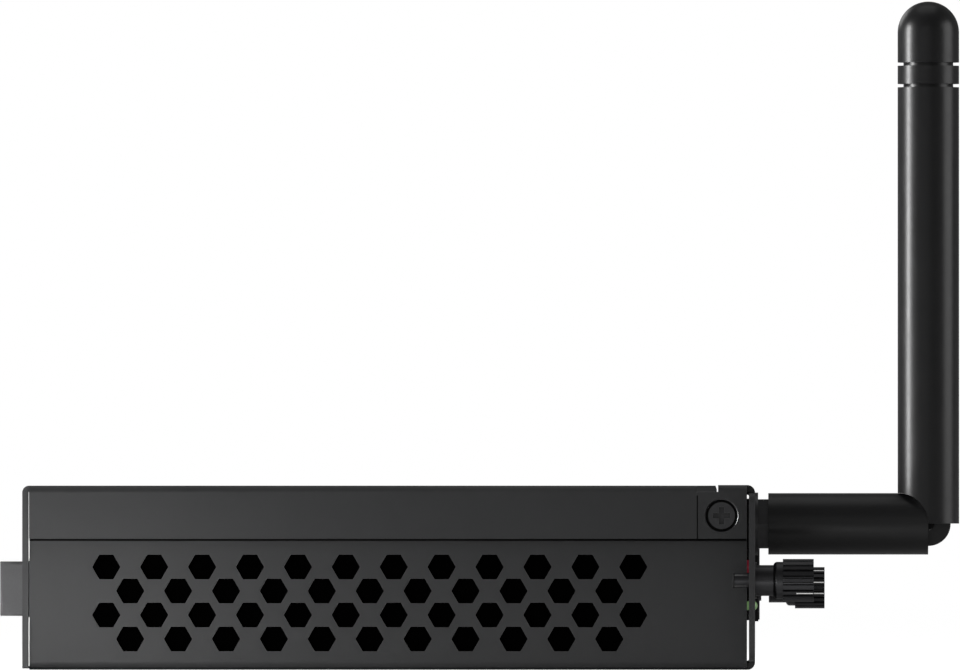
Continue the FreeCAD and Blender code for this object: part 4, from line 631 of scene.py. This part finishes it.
def dress(piece, body, slot, finish=None):
    """A piece's finish, which is its slot's unless it has its own, and its body."""
    piece.data.materials.clear()
    piece.data.materials.append(FINISHES[finish or slot])
    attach(piece, body)


# Thumb screws, in millimetres

RIDGE_TURNS = (-38, -144, 165, 110, 45)
RIDGE_HALF_WIDTH = 0.06
RIDGE_HEIGHTS = (1.06, 1.14)
RIDGE_INSET = 0.15
TIP_RADIUS = 1.18
TIP_LENGTH = 0.3
TIP_PROUD = 0.03
# Sizes of the painted glint lines on the knobs' flutes
GLINT_HALF_WIDTH = 0.09
GLINT_INSET = 0.12
GLINT_SUNK = 0.12
GLINT_PROUD = 0.035


def strip_round(middle, span, heights, half_width, edge, degrees):
    """A strip along X, between two heights above an axis, turned about that axis."""
    y, z = middle
    near = (span[0], y - half_width, z + heights[0])
    far = (span[1], y + half_width, z + heights[1])
    strip = block("strip", near, far)
    soften(strip, edge)
    turn_about(strip, (0, y, z), "X", degrees)
    return strip


def tail_ridges(side, length):
    """Fine rolled ridges along a thumb screw's tail, pale grey as painted highlight lines, and its matt
    tip.
    """
    screw = "thumb_screw_" + side
    low, high = box_of(screw)
    middle = middle_of(low, high)
    start = low.x + RIDGE_INSET
    span = (start, start + length)
    ridges = []
    for degrees in RIDGE_TURNS:
        ridges.append(strip_round(middle, span, RIDGE_HEIGHTS, RIDGE_HALF_WIDTH, 0.03, degrees))
    # The ridges are pale grey: painted highlight lines
    dress(joined("tail_ridges_" + side, ridges), screw, "thumb_black", "rubbed_grey")
    tip = bar("tail_tip_" + side, (low.x - TIP_PROUD, *middle), TIP_RADIUS, TIP_LENGTH, "X", sides=48)
    soften(tip, 0.1, segments=3)
    dress(tip, screw, "thumb_black", "matt_tip")


def flute_glints(side, places):
    """Painted glints: bright, faintly glowing lines on the knob's flutes, each at a turn and of a length.
    """
    screw = "thumb_screw_" + side
    low, high = box_of(screw)
    middle = middle_of(low, high)
    end = high.x - GLINT_INSET
    crest = (high.z - low.z) / 2
    heights = (crest - GLINT_SUNK, crest + GLINT_PROUD)
    glints = []
    for degrees, length in places:
        glints.append(strip_round(middle, (end - length, end), heights, GLINT_HALF_WIDTH, 0.02, degrees))
    dress(joined("flute_glints_" + side, glints), screw, "thumb_black", "rubbed_pale")


# Case seams with painted shadow, rear slots with painted light, side screws, rear plug and antenna seal,
# in millimetres

SIDE_WALL = box_of("top_cover")[1].y
REAR_FLANGE = box_of("top_cover")[0].x
REAR_WALL = box_of("base_tray")[0].x
# Each strip: from and to along the case, low and high, and from and to across, on both side walls
# Black strips painted as the shadow under the cover's skirt and down a seam in the skirt
SEAM_SHADOWS = (
    (-58.3, 58.1, 20.93, 21.27, SIDE_WALL - 0.6, SIDE_WALL),
    (50.02, 50.22, 21.26, 28.3, SIDE_WALL - 0.1, SIDE_WALL + 0.02),
)
# Pale strips inside the rear slots: painted light showing through them
REAR_SLOTS = (
    (REAR_WALL - 0.06, REAR_WALL + 0.1, 0.6, 8.6, SIDE_WALL - 0.4, SIDE_WALL - 0.03),
    (REAR_WALL - 0.06, REAR_WALL + 0.1, 17.7, 28.9, SIDE_WALL - 0.4, SIDE_WALL - 0.03),
)
SIDE_SCREW_X = 54.05
SIDE_SCREW_Z = 25.03
RING_FACE = SIDE_WALL + 0.02
GAP_RADII = (2.47, 2.19)
GAP_DEPTH = 0.14
RIM_RADIUS = 2.72
RIM_DEPTH = 0.29
RIM_SLOPE_WIDTH = 0.27
RIM_SLOPE_DEPTH = 0.2
RIM_FOOT_WIDTH = 0.2
CHEEK_PROUD = 0.06
CHEEK_SUNK = 0.3
CHEEK_BORDER = 0.6
CHEEK_GAP = 0.2
SEAL_RADII = (3.99, 3.4)
SEAL_THICKNESS = 0.32


def side_strips(name, strips, slot, finish):
    """Thin strips let into both side walls."""
    made = []
    for side in (-1, 1):
        for start, end, low, high, inner, outer in strips:
            near, far = sorted((side * inner, side * outer))
            strip = block("strip", (start, near, low), (end, far, high))
            soften(strip, 0.03)
            made.append(strip)
    dress(joined(name, made), "case", slot, finish)


def open_end(piece, side, border, depth):
    """The end of a bar along Y opened, but for a border whose inner edge is pushed in."""
    open_faces(piece, lambda middle, normal: normal.y * side > FACING)
    bpy.ops.mesh.inset(thickness=border * MM, depth=-depth * MM)
    bpy.ops.mesh.delete(type="FACE")
    close_faces()


def side_screw_rings():
    """A black ring of painted gap shade and a rubbed rim, deeper at its edge, round the heads of the side
    screws.
    """
    gaps = []
    rims = []
    for side in (-1, 1):
        start = -RING_FACE if side < 0 else RING_FACE - GAP_DEPTH
        gaps.append(ring("gap", (SIDE_SCREW_X, start, SIDE_SCREW_Z), *GAP_RADII, GAP_DEPTH, "Y"))
        start = -RING_FACE if side < 0 else RING_FACE - RIM_DEPTH
        rim = bar("rim", (SIDE_SCREW_X, start, SIDE_SCREW_Z), RIM_RADIUS, RIM_DEPTH, "Y", sides=64)
        open_end(rim, side, RIM_SLOPE_WIDTH, RIM_SLOPE_DEPTH)
        open_end(rim, -side, RIM_FOOT_WIDTH, 0)
        join_openings(rim)
        rims.append(rim)
    # The black ring is painted shade, standing for a gap round the head
    dress(joined("closing_screw_gap_shades", gaps), "case", "case_screw", "gap_black")
    dress(joined("closing_screw_rims", rims), "case", "case_screw", "rubbed_rim")


def plug_cheeks():
    """A flat plate pressed onto each end of the rear plug's sleeve."""
    low, high = box_of("rear_plug_shell")
    cheeks = []
    for side in (-1, 1):
        near, far = sorted((side * (high.y - CHEEK_SUNK), side * (high.y + CHEEK_PROUD)))
        cheek = block("cheek", (low.x - CHEEK_PROUD, near, low.z), (REAR_FLANGE - CHEEK_GAP, far, high.z))
        sink(cheek, lambda middle, normal: normal.y * side > FACING, CHEEK_BORDER, 0)
        soften(cheek, 0.1)
        cheeks.append(cheek)
    dress(joined("plug_cheeks", cheeks), "case", "plug_steel")


def antenna_seal():
    """A black ring between the jack's nut and the antenna's base."""
    low, high = box_of("antenna_base")
    start = (low.x + OVERLAP - SEAL_THICKNESS, *middle_of(low, high))
    seal = ring("antenna_seal", start, *SEAL_RADII, SEAL_THICKNESS, "X")
    soften(seal, 0.02)
    dress(seal, "antenna_base", "antenna_rubber", "seal_black")


# Port panel, in millimetres

STACK_WIDTH = 13.2
DECKS = (0, 8.2)
MOUTH_LIFT = 1.0
MOUTH_HEIGHT = 5.5
MOUTH_HALF_WIDTH = 6.5
LIP_PROUD = 0.16
LIP_WALL = 0.32
STACK_RIM_HALF_WIDTH = 7.1
STACK_RIM_SUNK = 0.33
STACK_RIM_PROUD = 0.27
STACK_RIM_DROP = 0.19
STACK_RIM_TOP_INSET = 0.15
STACK_RIM_WALL = 0.4
STACK_CONTACTS_ACROSS = (-3.5, -1.0, 1.0, 3.5)
STACK_CONTACT_HALF_WIDTH = 0.5
STACK_CONTACT_LENGTH = 8.0
STACK_CONTACT_INSET = 0.3
STACK_CONTACT_DROP = 0.16
STACK_CONTACT_BEND = (0.25 * MM, 0, 0.3 * MM)
VIDEO_CONTACTS = 10
VIDEO_CONTACT_HALF_WIDTH = 0.14
VIDEO_CONTACT_LENGTH = 6.2
VIDEO_CONTACT_INSET = 0.2
VIDEO_CONTACT_PROUD = 0.06
WINDOW_ACROSS = (4.6, 7.0)
WINDOW_DOWN = (2.25, 0.45)
WINDOW_SUNK = 0.2
WINDOW_PROUD = 0.1
WINDOW_BORDER = 0.25
BUTTON_RING_RADIUS = 2.2
BUTTON_RING_THICKNESS = 0.07
BUTTON_RING_BORDER = 0.35
BUTTON_RING_DIMPLE = 0.06


def stack_middles():
    """The middles of the two pairs of stacked ports, across the panel."""
    low, high = box_of("stacked_port_shells")
    return low.y + STACK_WIDTH / 2, high.y - STACK_WIDTH / 2


def port_rim(near, far, wall, edge):
    """A rim between two corners, open through."""
    rim = block("rim", near, far)
    hollowed(rim, "X", wall)
    soften(rim, edge)
    return rim


def stacked_port_lips():
    """A rolled lip round each mouth of the stacked ports, and a rim round each pair."""
    low, high = box_of("stacked_port_shells")
    lips = []
    for y in stack_middles():
        for deck in DECKS:
            foot = low.z + MOUTH_LIFT + deck
            near = (high.x - OVERLAP, y - MOUTH_HALF_WIDTH, foot)
            far = (high.x + LIP_PROUD, y + MOUTH_HALF_WIDTH, foot + MOUTH_HEIGHT)
            lips.append(port_rim(near, far, LIP_WALL, 0.06))
        near = (high.x - STACK_RIM_SUNK, y - STACK_RIM_HALF_WIDTH, low.z - STACK_RIM_DROP)
        far = (high.x + STACK_RIM_PROUD, y + STACK_RIM_HALF_WIDTH, high.z - STACK_RIM_TOP_INSET)
        lips.append(port_rim(near, far, STACK_RIM_WALL, 0.05))
    dress(joined("stacked_port_lips", lips), "case", "port_steel", "dark_plate")


def stacked_port_contacts():
    """Four sprung contacts under each tongue, bent up at their front end."""
    low, high = box_of("stacked_port_tongues")
    end = high.x - STACK_CONTACT_INSET
    half = STACK_CONTACT_HALF_WIDTH
    near = (end - STACK_CONTACT_LENGTH, -half, low.z - STACK_CONTACT_DROP)
    one = block("contact", near, (end, half, low.z + OVERLAP))
    open_faces(one, looks_forward)
    bpy.ops.mesh.extrude_region_move(TRANSFORM_OT_translate={"value": STACK_CONTACT_BEND})
    close_faces()
    soften(one, 0.05)
    contacts = []
    for y in stack_middles():
        for deck in DECKS:
            contacts.extend(twin(one, (0, y + across, deck)) for across in STACK_CONTACTS_ACROSS)
    bpy.data.objects.remove(one)
    dress(joined("stacked_port_contacts", contacts), "case", "contact_gold")


def video_contacts(port, span):
    """Fine contacts on both faces of a video port's tongue."""
    low, high = box_of(port + "_tongue")
    middle = middle_of(low, high)[0]
    end = high.x - VIDEO_CONTACT_INSET
    half = VIDEO_CONTACT_HALF_WIDTH
    near = (end - VIDEO_CONTACT_LENGTH, -half, high.z - OVERLAP)
    one = block("contact", near, (end, half, high.z + VIDEO_CONTACT_PROUD))
    soften(one, 0.03)
    underside = low.z - high.z + OVERLAP - VIDEO_CONTACT_PROUD
    contacts = []
    for i in range(VIDEO_CONTACTS):
        y = middle + (i - (VIDEO_CONTACTS - 1) / 2) * span / (VIDEO_CONTACTS - 1)
        contacts.append(twin(one, (0, y, 0)))
        contacts.append(twin(one, (0, y, underside)))
    bpy.data.objects.remove(one)
    dress(joined(port + "_contacts", contacts), "case", "contact_gold")


def network_windows():
    """Two small light windows in the upper corners of the network socket's face."""
    low, high = box_of("network_insert")
    middle = middle_of(low, high)[0]
    windows = (
        ("network_window_left", -1, "lens_green", None),
        ("network_window_right", 1, "post_brass", "window_amber"),
    )
    for name, side, slot, finish in windows:
        near, far = sorted(middle + side * across for across in WINDOW_ACROSS)
        foot, top = (high.z - down for down in WINDOW_DOWN)
        window = block(name, (high.x - WINDOW_SUNK, near, foot), (high.x + WINDOW_PROUD, far, top))
        sink(window, looks_forward, WINDOW_BORDER, -0.1)
        soften(window, 0.08)
        dress(window, "case", slot, finish)


def button_ring():
    """A polished ring let into the power button's face."""
    low, high = box_of("power_button")
    start = (high.x - OVERLAP, *middle_of(low, high))
    band = bar("power_button_ring", start, BUTTON_RING_RADIUS, BUTTON_RING_THICKNESS, "X", sides=48)
    sink(band, looks_forward, BUTTON_RING_BORDER, BUTTON_RING_DIMPLE)
    soften(band, 0.02)
    dress(band, "power_button", "button_cap", "port_steel")


# Cooler, in millimetres

LID_OVERLAP = 0.01
INLET_LIP_RADII = (17.9, 17.05)
INLET_LIP_HEIGHT = 0.36
LID_SCREW_CIRCLE = 24.4
LID_SCREW_TURNS = (35, 145, 215, 325)
LID_SCREW_RADIUS = 1.15
LID_SCREW_HEIGHT = 0.55
LID_SCREW_BORDER = 0.5
LID_SCREW_SOCKET = 0.25
CAP_RADIUS = 7.4
CAP_HEIGHT = 0.2
CAP_BORDER = 0.7
CAP_STEP = 0.08
CAP_MIDDLE_BORDER = 2.4
CAP_MIDDLE_RISE = 0.06


def blower_middle():
    """The middle of the blower's round end, at the top of its lid."""
    low, high = box_of("blower_lid")
    radius = (high.x - low.x) / 2
    return Vector((low.x + radius, low.y + radius, high.z - LID_OVERLAP))


def inlet_lip():
    """A raised lip round the blower's inlet."""
    lip = ring("blower_inlet_lip", blower_middle(), *INLET_LIP_RADII, INLET_LIP_HEIGHT, "Z", sides=96)
    soften(lip, 0.12)
    dress(lip, "case", "blower_lid_steel")


def lid_screws():
    """Small screws that hold the blower's lid."""
    middle = blower_middle()
    one = bar("screw", (0, 0, middle.z), LID_SCREW_RADIUS, LID_SCREW_HEIGHT, "Z")
    soften(one, 0.15)
    sink(one, looks_up, LID_SCREW_BORDER, LID_SCREW_SOCKET)
    screws = []
    for degrees in LID_SCREW_TURNS:
        x = middle.x + LID_SCREW_CIRCLE * math.cos(math.radians(degrees))
        y = middle.y + LID_SCREW_CIRCLE * math.sin(math.radians(degrees))
        screws.append(twin(one, (x, y, 0)))
    bpy.data.objects.remove(one)
    dress(joined("blower_lid_screws", screws), "case", "board_screw")


def hub_cap():
    """A stepped cap on the rotor's hub, raised again in its middle."""
    hub = blower_middle()
    foot = box_of("blower_rotor")[1].z - OVERLAP
    step = foot + CAP_HEIGHT - CAP_STEP

    def on_step(middle, normal):
        return looks_up(middle, normal) and abs(middle.z - step) < 0.03

    cap = bar("rotor_hub_cap", (hub.x, hub.y, foot), CAP_RADIUS, CAP_HEIGHT, "Z", sides=64)
    sink(cap, looks_up, CAP_BORDER, CAP_STEP)
    sink(cap, on_step, CAP_MIDDLE_BORDER, -CAP_MIDDLE_RISE)
    soften(cap, 0.03)
    dress(cap, "blower_rotor", "rotor_black", "blower_lid_steel")


# Small parts on the board, in millimetres, with corners whose heights count from the board's top

BOARD_TOP = box_of("main_board")[1].z
BOARD_FIELDS = ((12, 50, 37, 81), (10, -30, 36, -12), (-27, -5, 7, 15))
CAPACITOR_PITCH = 3.1
CAPACITOR = ((-0.45, -0.3, 0), (0.45, 0.3, 0.5))
CAPACITOR_END = ((-0.6, -0.31, 0), (-0.4, 0.31, 0.52))
CAPACITOR_END_PITCH = 1.0
CHIP_PLACES = ((15, 54), (26, 54), (15, 66), (26, 66), (34, 76), (16, -26), (30, -17), (-20, 1), (-4, 9))
CHIP_LIFT = 0.35
CHIP = ((-1.5, -1.2, 0.1), (1.5, 1.2, 0.95))
CHIP_LEG = ((-1.25, -1.8, 0), (-0.95, -1.1, 0.15))
LEG_BEND = (0, 0.1 * MM, 0.3 * MM)
LEG_PITCH = 0.73
LEGS_A_SIDE = 4


def field_places():
    """Every fifth place on a grid over the board's free fields."""
    places = []
    for x0, y0, x1, y1 in BOARD_FIELDS:
        for i in range(int((x1 - x0) / CAPACITOR_PITCH)):
            for j in range(int((y1 - y0) / CAPACITOR_PITCH)):
                places.append((x0 + (i + 0.5) * CAPACITOR_PITCH, y0 + (j + 0.5) * CAPACITOR_PITCH))
    return places[4::5]


def board_block(name, corners):
    """A block on the board, at its origin, between two corners."""
    low, high = (Vector((x, y, BOARD_TOP + z)) for x, y, z in corners)
    return block(name, low, high)


def spread_copies(name, one, places, lift, slot, finish=None):
    """Copies of one small part at places on the board, as one piece."""
    copies = [twin(one, (x, y, lift)) for x, y in places]
    dress(joined(name, copies), "case", slot, finish)
    bpy.data.objects.remove(one)


def capacitors():
    """Small capacitors with plated ends."""
    body = board_block("capacitor", CAPACITOR)
    soften(body, 0.06)
    end = board_block("end", CAPACITOR_END)
    soften(end, 0.06)
    ends = joined("ends", [end, twin(end, (CAPACITOR_END_PITCH, 0, 0))])
    spread_copies("board_capacitors", body, field_places(), 0, "component_black", "capacitor_tan")
    spread_copies("board_capacitor_ends", ends, field_places(), 0, "board_screw")


def chips():
    """Small chips on two rows of bent legs."""
    chip = board_block("chip", CHIP)
    sink(chip, looks_up, 0.25, -0.04)
    soften(chip, 0.08)
    leg = board_block("leg", CHIP_LEG)
    open_faces(leg, lambda middle, normal: normal.y > FACING)
    bpy.ops.mesh.extrude_region_move(TRANSFORM_OT_translate={"value": LEG_BEND})
    close_faces()
    near_legs = joined("legs", [leg] + [twin(leg, (LEG_PITCH * i, 0, 0)) for i in range(1, LEGS_A_SIDE)])
    far_legs = twin(near_legs, (0, 0, 0))
    far_legs.rotation_euler = (0, 0, math.radians(180))
    settle(far_legs)
    legs = joined("legs", [near_legs, far_legs])
    spread_copies("board_chips", chip, CHIP_PLACES, CHIP_LIFT, "component_black")
    spread_copies("board_chip_legs", legs, CHIP_PLACES, CHIP_LIFT, "board_screw")


tail_ridges("near", length=2.2)
tail_ridges("far", length=0.3)
# Painted glints on both knobs
flute_glints("near", ((-127, 2.7), (40, 3.0), (150, 2.4)))
flute_glints("far", ((-34, 2.3), (-75, 2.3), (-106, 4.6), (60, 3.0), (170, 2.6)))
# Painted shadow along the cover's seams
side_strips("seam_shadow_strips", SEAM_SHADOWS, "cover_paint", "seam_black")
# Painted light showing through the rear slots
side_strips("rear_slot_strips", REAR_SLOTS, "case_paint", "seal_pale")
side_screw_rings()
plug_cheeks()
antenna_seal()
stacked_port_lips()
stacked_port_contacts()
video_contacts("video_a", span=9.0)
video_contacts("video_b", span=10.9)
network_windows()
button_ring()
inlet_lip()
lid_screws()
hub_cap()
capacitors()
chips()


# Stage, light and camera

def plain_stage():
    """A pale floor that stays white in every view, and a room that is dim but for what the camera sees."""
    bpy.ops.mesh.primitive_plane_add(size=FLOOR_SIZE, location=(0, 0, cad_low.z))
    floor = bpy.context.object
    floor.name = "floor"
    material = bpy.data.materials.new("floor")
    material.use_nodes = True
    tree = material.node_tree
    shader = tree.nodes["Principled BSDF"]
    shader.inputs["Base Color"].default_value = FLOOR_COLOUR
    shader.inputs["Roughness"].default_value = 0.8
    shader.inputs["Specular IOR Level"].default_value = 0.1
    shader.inputs["Emission Color"].default_value = BACKDROP
    seen = put(tree, "ShaderNodeLightPath").outputs["Is Camera Ray"]
    tree.links.new(maths(tree, "MULTIPLY", seen, FLOOR_GLOW), shader.inputs["Emission Strength"])
    floor.data.materials.append(material)
    world = bpy.data.worlds.new("room")
    world.use_nodes = True
    bpy.context.scene.world = world
    tree = world.node_tree
    background = tree.nodes["Background"]
    background.inputs["Color"].default_value = BACKDROP
    seen = put(tree, "ShaderNodeLightPath").outputs["Is Camera Ray"]
    tree.links.new(spread(tree, seen, ROOM_STRENGTH, 1.0), background.inputs["Strength"])
    bpy.context.scene.view_settings.view_transform = "Standard"


def soft_light(name, place, target, width, height, power):
    """A rectangular soft light that faces a point."""
    data = bpy.data.lights.new(name, "AREA")
    data.shape = "RECTANGLE"
    data.size = width
    data.size_y = height
    data.energy = power
    light = bpy.data.objects.new(name, data)
    bpy.context.scene.collection.objects.link(light)
    light.location = place
    light.rotation_euler = (Vector(target) - Vector(place)).to_track_quat("-Z", "Y").to_euler()
    light.visible_camera = False


def square_camera():
    """The camera stands level with the thumb screws and in line with the slot behind the port panel."""
    scale_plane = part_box("top_cover")[0].y + SCALE_PLANE_DEPTH
    aim = Vector((VIEW_MIDDLE_X, scale_plane, VIEW_MIDDLE_Z))
    data = bpy.data.cameras.new("camera")
    data.lens = LENS
    data.sensor_width = SENSOR
    data.clip_end = 50.0
    camera = bpy.data.objects.new("camera", data)
    bpy.context.scene.collection.objects.link(camera)
    distance = VIEW_WIDTH * LENS / SENSOR
    camera.location = (EYE_X, scale_plane - distance, EYE_Z)
    camera.rotation_euler = (aim - camera.location).to_track_quat("-Z", "Y").to_euler()
    bpy.context.scene.camera = camera


plain_stage()
for light in LIGHTS:
    soft_light(*light)
square_camera()
